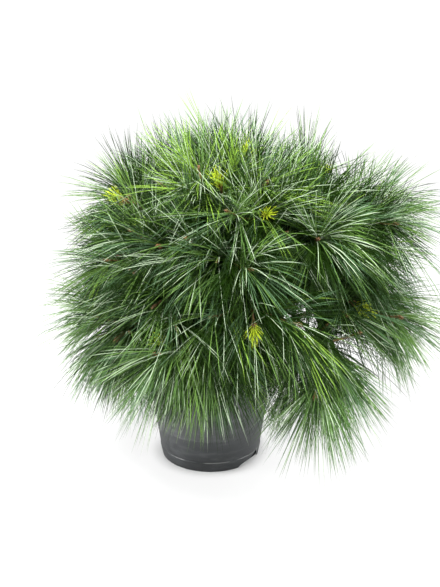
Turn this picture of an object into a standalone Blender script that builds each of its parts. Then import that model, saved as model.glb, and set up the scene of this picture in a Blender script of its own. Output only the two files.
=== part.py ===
"""A young eastern white pine, a low spreading form, in a round plastic nursery pot.

Metres, +Z up. The origin is the middle of the pot's flat underside, and -Y is the side
that the plant is looked at from. The pot is filled with potting soil. A short leaning
trunk stands on the soil and carries boughs in four tiers, and each bough ends where its
mass of needles begins.

A limb runs in one curve from the trunk to a bud. Its first part is the bough, and the
rest is the stem inside the mass. Side shoots leave that stem by a seeded rule, and
bundles of long needles stand round the outer end of every shoot. A mass keeps to its own
space: the points that lie nearer to its own shoots than to any other mass's.
"""

import math
import random
from typing import NamedTuple

import bmesh
import bpy
import numpy as np
from mathutils import Vector

CLEARANCE = 0.0003
SHORT_STEP = 0.004
UP = Vector((0.0, 0.0, 1.0))
GOLDEN_ANGLE = math.pi * (3.0 - math.sqrt(5.0))

# Pot
POT_SEGMENTS = 28
POT_HEIGHT = 0.130
POT_FOOT_RADIUS = 0.0625
POT_SHOULDER_RADIUS = 0.0785
POT_SHOULDER_HEIGHT = 0.110
POT_COLLAR_STEP = 0.0022
POT_LIP_RADIUS = 0.0850
POT_LIP_DROP = 0.0060
POT_WALL = 0.0018
FOOT_BAND_HEIGHT = 0.0140
FOOT_BAND_STEP = 0.0006
FOOT_RING_WIDTH = 0.0030
FOOT_RING_SLOPE = 0.0015
BASE_DISC_RADIUS = 0.0380
BASE_THICKNESS = 0.0022
CHANNEL_HEIGHT = 0.0050
CHANNEL_SLOPE = 0.0030
DRAIN_HOLES = 6
DRAIN_HOLE_RADIUS = 0.0045
DRAIN_HOLE_SIDES = 8
CUTTER_OVERRUN = 0.0020
NOTCH_AZIMUTHS = (-34.5, 145.5)
NOTCH_HALF_WIDTH = 0.0215
NOTCH_HEIGHT = 0.0068
NOTCH_REACH = 0.0085
NOTCH_SIDES = 14

# Soil
SOIL_TOP = 0.1160
SOIL_CROWNING = 0.0055
SOIL_FLAT_RADIUS = 0.024

# Trunk
TRUNK_TOP = 0.292
TRUNK_LEAN = 0.040
TRUNK_SWAY = 0.006
TRUNK_RADIUS = 0.0092
TRUNK_TIP_RADIUS = 0.0048
ROOT_FLARE = 0.0060
ROOT_FLARE_HEIGHT = 0.016
TRUNK_CUT_GAP = 3.0 * CLEARANCE
TRUNK_SIDES = 10
TRUNK_RINGS = 7
TRUNK_RING_CROWDING = 1.4

# Limbs
CROWN_AXIS = Vector((0.045, 0.0, 0.0))
FORK_STAGGER = 0.024
FORK_TURN = 0.618
BOUGH_SHARE = 0.52
BOUGH_SIDES = 5
BOUGH_RINGS = 4
BOUGH_TO_TRUNK = 0.50
BOUGH_TIP_RADIUS = 0.0026
LEAVING_PITCH = 26.0
LEAVING_SHARE = 0.42
ARRIVING_SHARE = 0.40

# Shoots
STEM_SIDES = 5
SIDE_SHOOT_SIDES = 4
SHOOT_RADIUS = 0.0024
CORE_RADIUS = 0.0130
CORE_LENGTH = 0.062
LEAST_CORE_RADIUS = 0.0040
CORE_GAP = 0.0010
CORE_PLACES = (0.34, 0.84)
CORE_FULLNESS = (1.0, 0.8)
EARLIEST_CORE = 0.12
CORE_STEPS = 7
BUD_LENGTH = 0.0100
SIDE_SHOOT_LENGTH = 0.060
SIDE_SHOOT_LENGTH_RANGE = (0.85, 1.15)
SIDE_SHOOT_PLACES = (0.10, 0.36, 0.62)
LEAST_SHOOT_GAP = 0.021
SIDE_SHOOT_ANGLE = 50.0
STRAY_PLACE = 0.04
STRAY_ANGLE = 6.0
STRAY_ROLL = 0.45
LEADER_SIDE_SHOOTS = 4
LEADER_FIRST_SHOOT = 0.16
LEADER_SHOOT_STEP = 0.15
LEADER_FIRST_ROLL = 3.9
LEADER_BUD = Vector((0.045, -0.006, 0.392))
LEADER_REACHES = (0.3, 0.4)

# Needles, each solid one standing for a bundle
NEEDLE_LENGTH = 0.098
NEEDLE_LENGTH_RANGE = (0.88, 1.06)
NEEDLE_RADIUS = 0.0036
NEEDLE_WIDEST = 0.42
NEEDLE_FLATNESS = 0.45
NEEDLE_ROLL = 0.5
NEEDLES_ON_STEM = 18
NEEDLES_ON_SIDE_SHOOT = 10
NEEDLE_ZONE = 0.068
LONGEST_ZONE_SHARE = 0.8
NEEDLE_LEAN_BACK = 84.0
NEEDLE_LEAN_TIP = 22.0
NEEDLE_STRAY = 7.0
NEEDLE_SHARES = (1.0, 0.82, 0.66)
NEEDLE_TURNS = (0.0, 0.5, -0.5, 1.0, -1.0)
INNER_STATIONS = (0.4, 0.6, 0.8, 1.0)
OUTER_STATIONS = (0.15, 0.3, 0.45, 0.6, 0.8, 1.0)
LOWEST_NEEDLE = 0.016
SPACE_GAP = 0.0008
POT_GAP = 0.0016
TRUNK_SAMPLES = 60
BOUGH_SAMPLES = 31
SHOOT_SAMPLES = 17


class Tier(NamedTuple):
    """Boughs that leave the trunk near one height, spread evenly round the crown's axis."""

    name: str
    boughs: int
    first_azimuth: float
    reach: float
    height: float
    pitch: float
    fork_height: float


class Departure(NamedTuple):
    """How far a limb's bud departs from its tier: turned, farther out, higher, steeper."""

    turn: float
    farther: float = 0.0
    higher: float = 0.0
    steeper: float = 0.0


class Limb(NamedTuple):
    """One curve from the trunk to a bud, as the four control points of a Bezier curve."""

    name: str
    curve: tuple


class Habit(NamedTuple):
    """How a tier's needles stand: their share of the usual lean, their fall and their sag."""

    lean: float
    fall: float
    sag: float


class SkyGap(NamedTuple):
    """A round way through the crown, from its front to its back, that needles leave open."""

    near: Vector
    far: Vector
    radius: float


class Shoot(NamedTuple):
    """A twig that bears needles: its points from root to bud, evenly spaced."""

    points: list
    needles: int
    core_radius: float


TIERS = (
    Tier("low", 8, -171.0, 0.184, 0.184, -40.0, 0.142),
    Tier("middle", 7, 179.0, 0.174, 0.262, -8.0, 0.176),
    Tier("upper", 7, -134.0, 0.150, 0.326, 20.0, 0.210),
    Tier("high", 5, -117.0, 0.090, 0.364, 46.0, 0.244),
)

DEPARTURES = {
    "low_1": Departure(2.0, -0.016, 0.014, -6.0),
    "low_2": Departure(-26.0, -0.008, 0.012, 0.0),
    "low_3": Departure(-25.0, -0.004, 0.014, -24.0),
    "low_4": Departure(-14.0, -0.014, -0.020, -22.0),
    "low_5": Departure(-12.0, -0.004, 0.006, 2.0),
    "low_6": Departure(-14.0),
    "low_7": Departure(-9.0, 0.004, -0.010, -4.0),
    "low_8": Departure(-4.0, -0.004, 0.006),
    "middle_1": Departure(0.0, -0.020, 0.010, -6.0),
    "middle_2": Departure(0.0, -0.004, -0.004, -8.0),
    "middle_3": Departure(-10.0, 0.000, -0.008, -24.0),
    "middle_4": Departure(2.0, -0.032, -0.030, -12.0),
    "middle_5": Departure(-20.0, -0.034, 0.014, 2.0),
    "middle_6": Departure(-16.0),
    "middle_7": Departure(-8.0, -0.004, 0.004),
    "upper_1": Departure(0.0, -0.004, -0.004, -4.0),
    "upper_2": Departure(-21.0, 0.000, -0.006, -20.0),
    "upper_3": Departure(-9.0, -0.012, 0.010, -12.0),
    "upper_4": Departure(-15.0, 0.024, 0.012, 8.0),
    "upper_5": Departure(-10.0, -0.004, -0.046, -24.0),
    "upper_6": Departure(-8.0, 0.002, 0.000),
    "upper_7": Departure(-6.0, 0.002, 0.006, -2.0),
    "high_1": Departure(3.0, -0.012, 0.018, 10.0),
    "high_2": Departure(-35.0, 0.020, -0.002, -24.0),
    "high_3": Departure(-45.0, -0.006, -0.020, -34.0),
    "high_4": Departure(-33.0, -0.022, -0.036, -24.0),
    "high_5": Departure(-25.0, -0.002, -0.022, -14.0),
}

HABITS = {
    "low": Habit(0.80, 0.50, 0.25),
    "middle": Habit(0.88, 0.30, 0.26),
    "upper": Habit(0.95, 0.12, 0.25),
    "high": Habit(1.00, 0.00, 0.18),
    "leader": Habit(1.00, 0.00, 0.12),
}

SKY_GAPS = (
    SkyGap(Vector((0.154, -0.160, 0.225)), Vector((0.185, 0.200, 0.064)), 0.010),
    SkyGap(Vector((0.173, -0.160, 0.214)), Vector((0.209, 0.200, 0.052)), 0.011),
    SkyGap(Vector((0.192, -0.160, 0.199)), Vector((0.232, 0.200, 0.033)), 0.010),
    SkyGap(Vector((0.211, -0.160, 0.181)), Vector((0.256, 0.200, 0.011)), 0.008),
    SkyGap(Vector((-0.128, -0.120, 0.222)), Vector((-0.154, 0.200, 0.082)), 0.007),
    SkyGap(Vector((0.158, -0.082, 0.435)), Vector((0.183, 0.207, 0.348)), 0.008),
    SkyGap(Vector((0.154, -0.086, 0.424)), Vector((0.179, 0.202, 0.336)), 0.006),
    SkyGap(Vector((0.153, -0.091, 0.411)), Vector((0.177, 0.196, 0.321)), 0.004),
)

FOLIAGE_TONES = {
    "low": (0.060, 0.140, 0.050, 1.0),
    "middle": (0.075, 0.170, 0.060, 1.0),
    "upper": (0.095, 0.200, 0.070, 1.0),
    "high": (0.125, 0.240, 0.070, 1.0),
    "leader": (0.160, 0.290, 0.070, 1.0),
}


def bezier(curve, share):
    rest = 1.0 - share
    weights = (rest**3, 3 * rest**2 * share, 3 * rest * share**2, share**3)
    return sum((point * weight for point, weight in zip(curve, weights)), Vector())


def heading(azimuth, pitch):
    """The unit vector at this azimuth and pitch, in degrees."""
    turn, rise = math.radians(azimuth), math.radians(pitch)
    return Vector((math.cos(turn) * math.cos(rise), math.sin(turn) * math.cos(rise), math.sin(rise)))


def two_sides(direction):
    """Two unit vectors square to direction: a level one, and the one above it."""
    level = UP.cross(direction)
    if level.length < 1e-3:
        level = Vector((0.0, 1.0, 0.0))
    level.normalize()
    return level, direction.cross(level)


def fanned(forward, around, lean):
    """The direction that leans away from forward by lean, turned round it by around."""
    level, above = two_sides(forward)
    outward = level * math.cos(around) + above * math.sin(around)
    return (forward * math.cos(lean) + outward * math.sin(lean)).normalized()


def path_at(points, share):
    """The point and the direction at this share of a path of evenly spaced points."""
    place = min(max(share, 0.0), 1.0) * (len(points) - 1)
    i = min(int(place), len(points) - 2)
    return points[i].lerp(points[i + 1], place - i), (points[i + 1] - points[i]).normalized()


def path_length(points):
    return sum((b - a).length for a, b in zip(points, points[1:]))


def trunk_axis(height):
    """The middle of the trunk at this height: a lean that grows, with a slight sway."""
    share = max((height - SOIL_TOP) / (TRUNK_TOP - SOIL_TOP), 0.0)
    return Vector((TRUNK_LEAN * share**1.2, TRUNK_SWAY * math.sin(math.pi * share), height))


def trunk_radius(height):
    share = (height - SOIL_TOP) / (TRUNK_TOP - SOIL_TOP)
    flare = ROOT_FLARE * math.exp(-(height - SOIL_TOP) / ROOT_FLARE_HEIGHT)
    return TRUNK_RADIUS + (TRUNK_TIP_RADIUS - TRUNK_RADIUS) * share + flare


def limb_of(tier, number):
    name = f"{tier.name}_{number + 1}"
    departure = DEPARTURES[name]
    azimuth = tier.first_azimuth + 360.0 * number / tier.boughs + departure.turn
    bud = CROWN_AXIS + heading(azimuth, 0.0) * (tier.reach + departure.farther)
    bud.z = tier.height + departure.higher
    fork = trunk_axis(tier.fork_height + FORK_STAGGER * (number * FORK_TURN % 1.0))
    outward = Vector((bud.x - fork.x, bud.y - fork.y, 0.0))
    bearing = math.degrees(math.atan2(outward.y, outward.x))
    leave = heading(bearing, LEAVING_PITCH + 0.5 * tier.pitch)
    arrive = heading(azimuth, tier.pitch + departure.steeper)
    leave, arrive = leave * outward.length * LEAVING_SHARE, arrive * outward.length * ARRIVING_SHARE
    return Limb(name, (fork, fork + leave, bud - arrive, bud))


def leader_limb():
    """The stem that carries the trunk's line on to the top bud."""
    foot = trunk_axis(TRUNK_TOP)
    forward = (foot - trunk_axis(TRUNK_TOP - SHORT_STEP)).normalized()
    leave, arrive = [(LEADER_BUD.z - foot.z) * reach for reach in LEADER_REACHES]
    return Limb("leader", (foot, foot + forward * leave, LEADER_BUD - UP * arrive, LEADER_BUD))


def stem_start(limb):
    """The share of the limb at which its stem begins, and the limb's direction there."""
    start = 0.0 if limb.name == "leader" else BOUGH_SHARE
    return start, (bezier(limb.curve, start + 0.01) - bezier(limb.curve, start)).normalized()


def stem_points(limb, steps=8):
    """The part of the limb inside its mass, which starts the clearance past the bough."""
    start, forward = stem_start(limb)
    points = [bezier(limb.curve, start + (1.0 - start) * i / steps) for i in range(steps + 1)]
    points[0] += forward * CLEARANCE
    return points


def side_shoots(limb, stem):
    """The side shoots of a mass, left and right in turn, or round the leader."""
    chance = random.Random(limb.name)
    if limb.name == "leader":
        places = [LEADER_FIRST_SHOOT + LEADER_SHOOT_STEP * k for k in range(LEADER_SIDE_SHOOTS)]
        rolls = [LEADER_FIRST_ROLL + GOLDEN_ANGLE * k for k in range(LEADER_SIDE_SHOOTS)]
    else:
        places = SIDE_SHOOT_PLACES
        first = chance.choice((0.0, math.pi))
        rolls = [first + math.pi * k for k in range(len(places))]
    for place, roll in zip(places, rolls):
        root, forward = path_at(stem, place + chance.uniform(-STRAY_PLACE, STRAY_PLACE))
        lean = math.radians(SIDE_SHOOT_ANGLE + chance.uniform(-STRAY_ANGLE, STRAY_ANGLE))
        direction = fanned(forward, roll + chance.uniform(-STRAY_ROLL, STRAY_ROLL), lean)
        yield [root, root + direction * SIDE_SHOOT_LENGTH * chance.uniform(*SIDE_SHOOT_LENGTH_RANGE)]


def samples_along(points, count):
    return [path_at(points, i / (count - 1))[0] for i in range(count)]


def pot_radius(height):
    """The pot's widest outer radius at this height."""
    if height > POT_SHOULDER_HEIGHT:
        return POT_LIP_RADIUS
    return wall_radius(max(height, 0.0)) + FOOT_BAND_STEP


def as_array(points):
    return np.array([tuple(point) for point in points])


def distances(points, others):
    """The distance of each point, down the rows, from each of the others, across."""
    return np.linalg.norm(points[:, None] - others[None], axis=2)


def from_line(points, start, end):
    """The distance of each point from the straight line between start and end."""
    first, along = np.array(start), np.array(end - start)
    share = np.clip((points - first) @ along / (along @ along), 0.0, 1.0)
    return np.linalg.norm(points - first - share[:, None] * along, axis=1)


class Spaces:
    """Knows the wood and every mass's shoots, and tells what lies in a mass's own space."""

    def __init__(self, limbs):
        heights = np.linspace(SOIL_TOP, TRUNK_TOP, TRUNK_SAMPLES)
        wood = [(trunk_axis(height), trunk_radius(height)) for height in heights]
        for limb in limbs:
            if limb.name != "leader":
                for share in np.linspace(0.0, 1.0, BOUGH_SAMPLES):
                    wood.append((bezier(limb.curve, BOUGH_SHARE * share), bough_radius(limb, share)))
        self.wood = as_array([point for point, radius in wood])
        self.wood_radii = np.array([radius for point, radius in wood])
        self.samples, self.owners = np.empty((0, 3)), np.empty(0, int)
        self.shoots = {}
        for owner, limb in enumerate(limbs):
            stem = stem_points(limb)
            self.shoots[limb.name] = [Shoot(stem, NEEDLES_ON_STEM, CORE_RADIUS)]
            self.claim(owner, stem)
        for owner, limb in enumerate(limbs):
            for points in side_shoots(limb, self.shoots[limb.name][0].points):
                if self.admits(owner, samples_along(points, SHOOT_SAMPLES)[SHOOT_SAMPLES // 3:]):
                    self.shoots[limb.name].append(Shoot(points, NEEDLES_ON_SIDE_SHOOT, CORE_RADIUS))
                    self.claim(owner, points)
        for owner, limb in enumerate(limbs):
            shoots = self.shoots[limb.name]
            for i, shoot in enumerate(shoots):
                shoots[i] = shoot._replace(core_radius=self.room_round(owner, shoot))

    def claim(self, owner, points):
        """Adds points along a shoot to those whose surroundings are this mass's space."""
        claimed = as_array(samples_along(points, SHOOT_SAMPLES))
        self.samples = np.vstack([self.samples, claimed])
        self.owners = np.append(self.owners, [owner] * len(claimed))

    def to_others(self, owner, tested):
        return distances(tested, self.samples[self.owners != owner]).min(axis=1)

    def to_wood(self, tested):
        return (distances(tested, self.wood) - self.wood_radii).min(axis=1)

    def room_round(self, owner, shoot):
        """The largest radius, up to the usual one, that a core round this shoot can have."""
        core = as_array(core_samples(shoot))
        room = min(0.5 * self.to_others(owner, core).min(), self.to_wood(core[1:]).min()) - CORE_GAP
        return max(min(CORE_RADIUS, room), LEAST_CORE_RADIUS)

    def clear_of_fixed(self, tested, radii):
        """True if balls of these radii are clear of the ground, the pot and all wood."""
        if (tested[:, 2] - radii).min() < LOWEST_NEEDLE:
            return False
        for (x, y, z), radius in zip(tested, radii):
            if z < POT_HEIGHT + radius + POT_GAP and math.hypot(x, y) < pot_radius(z) + radius + POT_GAP:
                return False
        return bool((self.to_wood(tested) > radii + SPACE_GAP).all())

    def admits(self, owner, points):
        """True if a side shoot through these points leaves the other masses their room."""
        tested = as_array(points)
        roomy = self.to_others(owner, tested).min() > LEAST_SHOOT_GAP
        return roomy and self.clear_of_fixed(tested, np.full(len(tested), LEAST_CORE_RADIUS + CORE_GAP))

    def holds(self, owner, points, radii):
        """True if balls of these radii round these points lie in this mass's own space."""
        tested, radii = as_array(points), np.array(radii)
        if not self.clear_of_fixed(tested, radii):
            return False
        if any((from_line(tested, gap.near, gap.far) < gap.radius + radii).any() for gap in SKY_GAPS):
            return False
        own = distances(tested, self.samples[self.owners == owner]).min(axis=1)
        return bool((self.to_others(owner, tested) - own > 2.0 * radii + SPACE_GAP).all())


def material(name, colour, roughness, metallic=0.0):
    made = bpy.data.materials.new(name)
    made.use_nodes = True
    shader = made.node_tree.nodes["Principled BSDF"]
    shader.inputs["Base Color"].default_value = colour
    shader.inputs["Roughness"].default_value = roughness
    shader.inputs["Metallic"].default_value = metallic
    made.diffuse_color = colour
    return made


def add_object(name, bm, finish=None, collection=None):
    """A new object from this bmesh, which it uses up."""
    mesh = bpy.data.meshes.new(name)
    bm.to_mesh(mesh)
    bm.free()
    if finish:
        mesh.materials.append(finish)
    made = bpy.data.objects.new(name, mesh)
    (collection or bpy.context.scene.collection).objects.link(made)
    return made


def cut(target, cutter):
    cutter.hide_render = True
    cutter.display_type = "WIRE"
    boolean = target.modifiers.new(cutter.name, "BOOLEAN")
    boolean.operation = "DIFFERENCE"
    boolean.solver = "EXACT"
    boolean.object = cutter


def sweep(bm, points, radii, sides, flatness=1.0, facing=(None, None)):
    """A closed limb of this many sides through the points. A last radius of 0 ends it in a
    point, and facing turns its first or last ring square to another direction."""
    side = two_sides((points[1] - points[0]).normalized())[0]
    rings = []
    for i, (point, radius) in enumerate(zip(points, radii)):
        before, after = points[max(i - 1, 0)], points[min(i + 1, len(points) - 1)]
        forward = (after - before).normalized()
        if i in (0, len(points) - 1) and facing[i > 0]:
            forward = facing[i > 0]
        side = (side - forward * side.dot(forward)).normalized()
        over = forward.cross(side) * flatness
        if radius == 0.0:
            rings.append([bm.verts.new(point)])
            continue
        turns = [2.0 * math.pi * k / sides for k in range(sides)]
        spokes = [side * math.cos(turn) + over * math.sin(turn) for turn in turns]
        rings.append([bm.verts.new(point + spoke * radius) for spoke in spokes])
    bm.faces.new(reversed(rings[0]))
    for low, high in zip(rings, rings[1:]):
        for k in range(sides):
            following = (k + 1) % sides
            if len(high) == 1:
                bm.faces.new((low[k], low[following], high[0]))
            else:
                bm.faces.new((low[k], low[following], high[following], high[k]))
    if len(rings[-1]) > 1:
        bm.faces.new(rings[-1])
    return bm


def turned(name, outline, segments, finish):
    """A turned solid from an outline that runs down its outer side, closed on the axis."""
    bm = bmesh.new()
    corners = [bm.verts.new((radius, 0.0, height)) for radius, height in outline]
    for a, b in zip(corners, corners[1:]):
        bm.edges.new((a, b))
    made = add_object(name, bm, finish)
    screw = made.modifiers.new("turn", "SCREW")
    screw.steps = screw.render_steps = segments
    screw.use_merge_vertices = True
    screw.merge_threshold = 0.00001
    screw.use_smooth_shade = False
    return made


def wall_radius(height):
    """The outer radius of the pot's plain wall between its foot band and its collar."""
    taper = (POT_SHOULDER_RADIUS - POT_FOOT_RADIUS) / POT_SHOULDER_HEIGHT
    return POT_FOOT_RADIUS + taper * height


def collar_radius():
    """The outer radius of the upright collar above the pot's shoulder."""
    return wall_radius(POT_SHOULDER_HEIGHT) + POT_COLLAR_STEP


def pot_floor(lift):
    """The floor inside the pot, raised by lift: the base disc, then the channel's roof."""
    roof = CHANNEL_HEIGHT + BASE_THICKNESS + lift
    disc = BASE_DISC_RADIUS - 0.5 * BASE_THICKNESS
    return [(0.0, BASE_THICKNESS + lift), (disc, BASE_THICKNESS + lift),
            (disc + CHANNEL_SLOPE, roof), (wall_radius(roof) - POT_WALL - lift, roof)]


def build_pot(finish):
    inside, collar = wall_radius(POT_SHOULDER_HEIGHT) - POT_WALL, collar_radius()
    foot_inside = POT_FOOT_RADIUS - FOOT_RING_WIDTH
    outline = pot_floor(0.0)
    outline += [(inside, POT_SHOULDER_HEIGHT), (collar - POT_WALL, POT_SHOULDER_HEIGHT + POT_WALL)]
    outline += [(collar - POT_WALL, POT_HEIGHT), (POT_LIP_RADIUS, POT_HEIGHT)]
    outline += [(POT_LIP_RADIUS, POT_HEIGHT - POT_LIP_DROP), (collar, POT_HEIGHT - POT_LIP_DROP)]
    outline += [(collar, POT_SHOULDER_HEIGHT), (inside + POT_WALL, POT_SHOULDER_HEIGHT - POT_WALL)]
    outline += [(wall_radius(FOOT_BAND_HEIGHT), FOOT_BAND_HEIGHT)]
    outline += [(wall_radius(FOOT_BAND_HEIGHT) + FOOT_BAND_STEP, FOOT_BAND_HEIGHT - FOOT_BAND_STEP)]
    outline += [(POT_FOOT_RADIUS, 0.0), (foot_inside, 0.0), (foot_inside - FOOT_RING_SLOPE, CHANNEL_HEIGHT)]
    outline += [(BASE_DISC_RADIUS + CHANNEL_SLOPE, CHANNEL_HEIGHT), (BASE_DISC_RADIUS, 0.0), (0.0, 0.0)]
    pot = turned("pot", outline, POT_SEGMENTS, finish)
    for number, azimuth in enumerate(NOTCH_AZIMUTHS):
        cut(pot, notch_cutter(number, azimuth))
    cut(pot, drain_hole_cutter())
    return pot


def notch_cutter(number, azimuth):
    """A flattened drum across the foot, which leaves an arch in the foot ring and wall."""
    out = heading(azimuth, 0.0)
    along = [out * (POT_FOOT_RADIUS - NOTCH_REACH), out * (POT_FOOT_RADIUS + NOTCH_REACH)]
    flatness = NOTCH_HEIGHT / NOTCH_HALF_WIDTH
    bm = sweep(bmesh.new(), along, [NOTCH_HALF_WIDTH] * 2, NOTCH_SIDES, flatness=flatness)
    return add_object(f"notch_cutter_{number + 1}", bm)


def drain_hole_cutter():
    """Round pegs through the roof of the drainage channel, as one cutter."""
    bm = bmesh.new()
    channel_inside = BASE_DISC_RADIUS + CHANNEL_SLOPE
    channel_outside = POT_FOOT_RADIUS - FOOT_RING_WIDTH - FOOT_RING_SLOPE
    heights = (CHANNEL_HEIGHT - CUTTER_OVERRUN, CHANNEL_HEIGHT + BASE_THICKNESS + CUTTER_OVERRUN)
    for k in range(DRAIN_HOLES):
        azimuth = NOTCH_AZIMUTHS[0] + 360.0 * (k + 0.5) / DRAIN_HOLES
        middle = heading(azimuth, 0.0) * 0.5 * (channel_inside + channel_outside)
        sweep(bm, [middle + UP * height for height in heights], [DRAIN_HOLE_RADIUS] * 2, DRAIN_HOLE_SIDES)
    return add_object("drain_hole_cutter", bm)


def build_soil(finish):
    """The potting soil, slightly crowned, which fills the pot to below its rim."""
    gap = 2.0 * CLEARANCE
    outline = [(0.0, SOIL_TOP), (SOIL_FLAT_RADIUS, SOIL_TOP)]
    outline += [(wall_radius(POT_SHOULDER_HEIGHT) - POT_WALL - gap, SOIL_TOP - SOIL_CROWNING)]
    return turned("soil", outline + pot_floor(gap)[::-1], POT_SEGMENTS, finish)


def smooth_round(made):
    made.data.shade_smooth()
    made.data.set_sharp_from_angle(angle=math.radians(50))
    return made


def build_trunk(finish):
    height = TRUNK_TOP - SOIL_TOP - 2.0 * CLEARANCE
    shares = [(i / TRUNK_RINGS) ** TRUNK_RING_CROWDING for i in range(TRUNK_RINGS + 1)]
    heights = [SOIL_TOP + CLEARANCE + height * share for share in shares]
    points = [trunk_axis(height) for height in heights]
    radii = [trunk_radius(height) for height in heights]
    bm = sweep(bmesh.new(), points, radii, TRUNK_SIDES, facing=(UP, stem_start(leader_limb())[1]))
    return smooth_round(add_object("trunk", bm, finish))


def trunk_cutter():
    """The trunk grown by the clearance, which trims the boughs' roots to its surface."""
    heights = [SOIL_TOP + (TRUNK_TOP - SOIL_TOP) * (i / TRUNK_RINGS) for i in range(TRUNK_RINGS + 2)]
    points = [trunk_axis(height) for height in heights]
    radii = [trunk_radius(height) + TRUNK_CUT_GAP for height in heights]
    cutter = add_object("trunk_cutter", sweep(bmesh.new(), points, radii, TRUNK_SIDES))
    cutter.hide_render = True
    cutter.display_type = "WIRE"
    return cutter


def bough_radius(limb, share):
    """The bough's radius at this share of its length, in keeping with the trunk's there."""
    root = BOUGH_TO_TRUNK * trunk_radius(limb.curve[0].z)
    return root + (BOUGH_TIP_RADIUS - root) * share


def build_bough(limb, cutter, finish):
    shares = [i / BOUGH_RINGS for i in range(BOUGH_RINGS + 1)]
    points = [bezier(limb.curve, BOUGH_SHARE * share) for share in shares]
    radii = [bough_radius(limb, share) for share in shares]
    bm = sweep(bmesh.new(), points, radii, BOUGH_SIDES, facing=(None, stem_start(limb)[1]))
    bough = smooth_round(add_object("bough_" + limb.name, bm, finish))
    cut(bough, cutter)
    return bough


def core_share(shoot):
    """Where along the shoot its core begins."""
    return max(1.0 - CORE_LENGTH / path_length(shoot.points), EARLIEST_CORE)


def core_samples(shoot):
    start = core_share(shoot)
    return [path_at(shoot.points, start + (1.0 - start) * i / CORE_STEPS)[0] for i in range(CORE_STEPS + 1)]


def shoot_body(shoot, sides, root_radius, facing=None):
    """A shoot as one body: a thin twig, the core that needles stand out of, and a bud."""
    core = core_share(shoot)
    shares = [0.0, core] + [core + (1.0 - core) * place for place in CORE_PLACES]
    along = [path_at(shoot.points, share)[0] for share in shares]
    radii = [root_radius, SHOOT_RADIUS] + [shoot.core_radius * fullness for fullness in CORE_FULLNESS]
    tip, forward = path_at(shoot.points, 1.0)
    along.append(tip + forward * BUD_LENGTH)
    return sweep(bmesh.new(), along, radii + [0.0], sides, facing=(facing, None))


def needle_places(shoot, chance):
    """Root, shoot direction, turn, lean and length of each bundle of needles, bud end first."""
    zone = min(NEEDLE_ZONE / path_length(shoot.points), LONGEST_ZONE_SHARE)
    turn = chance.uniform(0.0, 2.0 * math.pi)
    for i in range(shoot.needles):
        back = (i + 0.5) / shoot.needles
        root, forward = path_at(shoot.points, 1.0 - zone * back)
        lean = NEEDLE_LEAN_TIP + (NEEDLE_LEAN_BACK - NEEDLE_LEAN_TIP) * back**0.8
        lean = math.radians(lean + chance.uniform(-NEEDLE_STRAY, NEEDLE_STRAY))
        length = NEEDLE_LENGTH * chance.uniform(*NEEDLE_LENGTH_RANGE)
        yield root, forward, turn + GOLDEN_ANGLE * i, lean, length


def needle_points(root, direction, length, habit):
    """Foot, bend and tip of a needle, which falls at its foot and bends under its weight."""
    direction = (direction - UP * habit.fall).normalized()
    sag = habit.sag * length * math.hypot(direction.x, direction.y)
    shares = (0.0, NEEDLE_WIDEST, 1.0)
    return [root + direction * (length * share) - UP * (sag * share**2) for share in shares]


def needle_stations(points):
    """Points along a needle and its radii there, close enough together to test its space."""
    foot, bend, tip = points
    stations = [foot.lerp(bend, place) for place in INNER_STATIONS]
    stations += [bend.lerp(tip, place) for place in OUTER_STATIONS]
    swelling = [NEEDLE_RADIUS * place for place in INNER_STATIONS]
    return stations, swelling + [NEEDLE_RADIUS * (1.0 - place) for place in OUTER_STATIONS]


def needle_body(points, roll):
    """A flat three-sided lance, pointed at its foot and its tip and widest at its bend."""
    foot, bend, tip = points
    forward = (tip - foot).normalized()
    level, above = two_sides(forward)
    bm = bmesh.new()
    ends = [bm.verts.new(foot), bm.verts.new(tip)]
    turns = [roll + 2.0 * math.pi * k / 3 for k in range(3)]
    offsets = [level * math.cos(turn) + above * (NEEDLE_FLATNESS * math.sin(turn)) for turn in turns]
    ring = [bm.verts.new(bend + offset * NEEDLE_RADIUS) for offset in offsets]
    for k in range(3):
        following = (k + 1) % 3
        bm.faces.new((ring[following], ring[k], ends[0]))
        bm.faces.new((ring[k], ring[following], ends[1]))
    return bm


def keep_one_body(bm):
    """Drops whatever isn't joined to the largest body: loose scraps and sealed hollows."""
    left, bodies = set(bm.verts), []
    while left:
        body, todo = set(), [next(iter(left))]
        while todo:
            vert = todo.pop()
            if vert not in body:
                body.add(vert)
                todo += [edge.other_vert(vert) for edge in vert.link_edges]
        left -= body
        bodies.append(body)
    bodies.sort(key=len, reverse=True)
    bmesh.ops.delete(bm, geom=[vert for body in bodies[1:] for vert in body], context="VERTS")


def fuse(stem, pieces):
    """One Boolean union of the stem with the collection, applied, and its objects removed."""
    boolean = stem.modifiers.new("fuse", "BOOLEAN")
    boolean.operation = "UNION"
    boolean.solver = "EXACT"
    boolean.operand_type = "COLLECTION"
    boolean.collection = pieces
    bpy.context.view_layer.update()
    bm = bmesh.new()
    bm.from_object(stem, bpy.context.evaluated_depsgraph_get())
    keep_one_body(bm)
    stem.modifiers.clear()
    bm.to_mesh(stem.data)
    bm.free()
    for piece in list(pieces.objects):
        bpy.data.objects.remove(piece)
    bpy.data.collections.remove(pieces)


class Filling:
    """Remembers what a mass already holds, so that its needles don't run through each other."""

    def __init__(self, shoots):
        self.points, self.radii, self.shoots = [], [], []
        for number, shoot in enumerate(shoots):
            core = core_samples(shoot)
            self.add(core, [shoot.core_radius] * len(core), number)

    def add(self, points, radii, number=-1):
        self.points += [tuple(point) for point in points]
        self.radii += radii
        self.shoots += [number] * len(points)

    def crosses(self, points, radii, number):
        """True if the needle runs through something other than its own shoot's core."""
        kept = np.array(self.shoots) != number
        if not kept.any():
            return False
        apart = distances(as_array(points), np.array(self.points)[kept])
        return bool((apart < np.array(radii)[:, None] + np.array(self.radii)[kept]).any())


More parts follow.
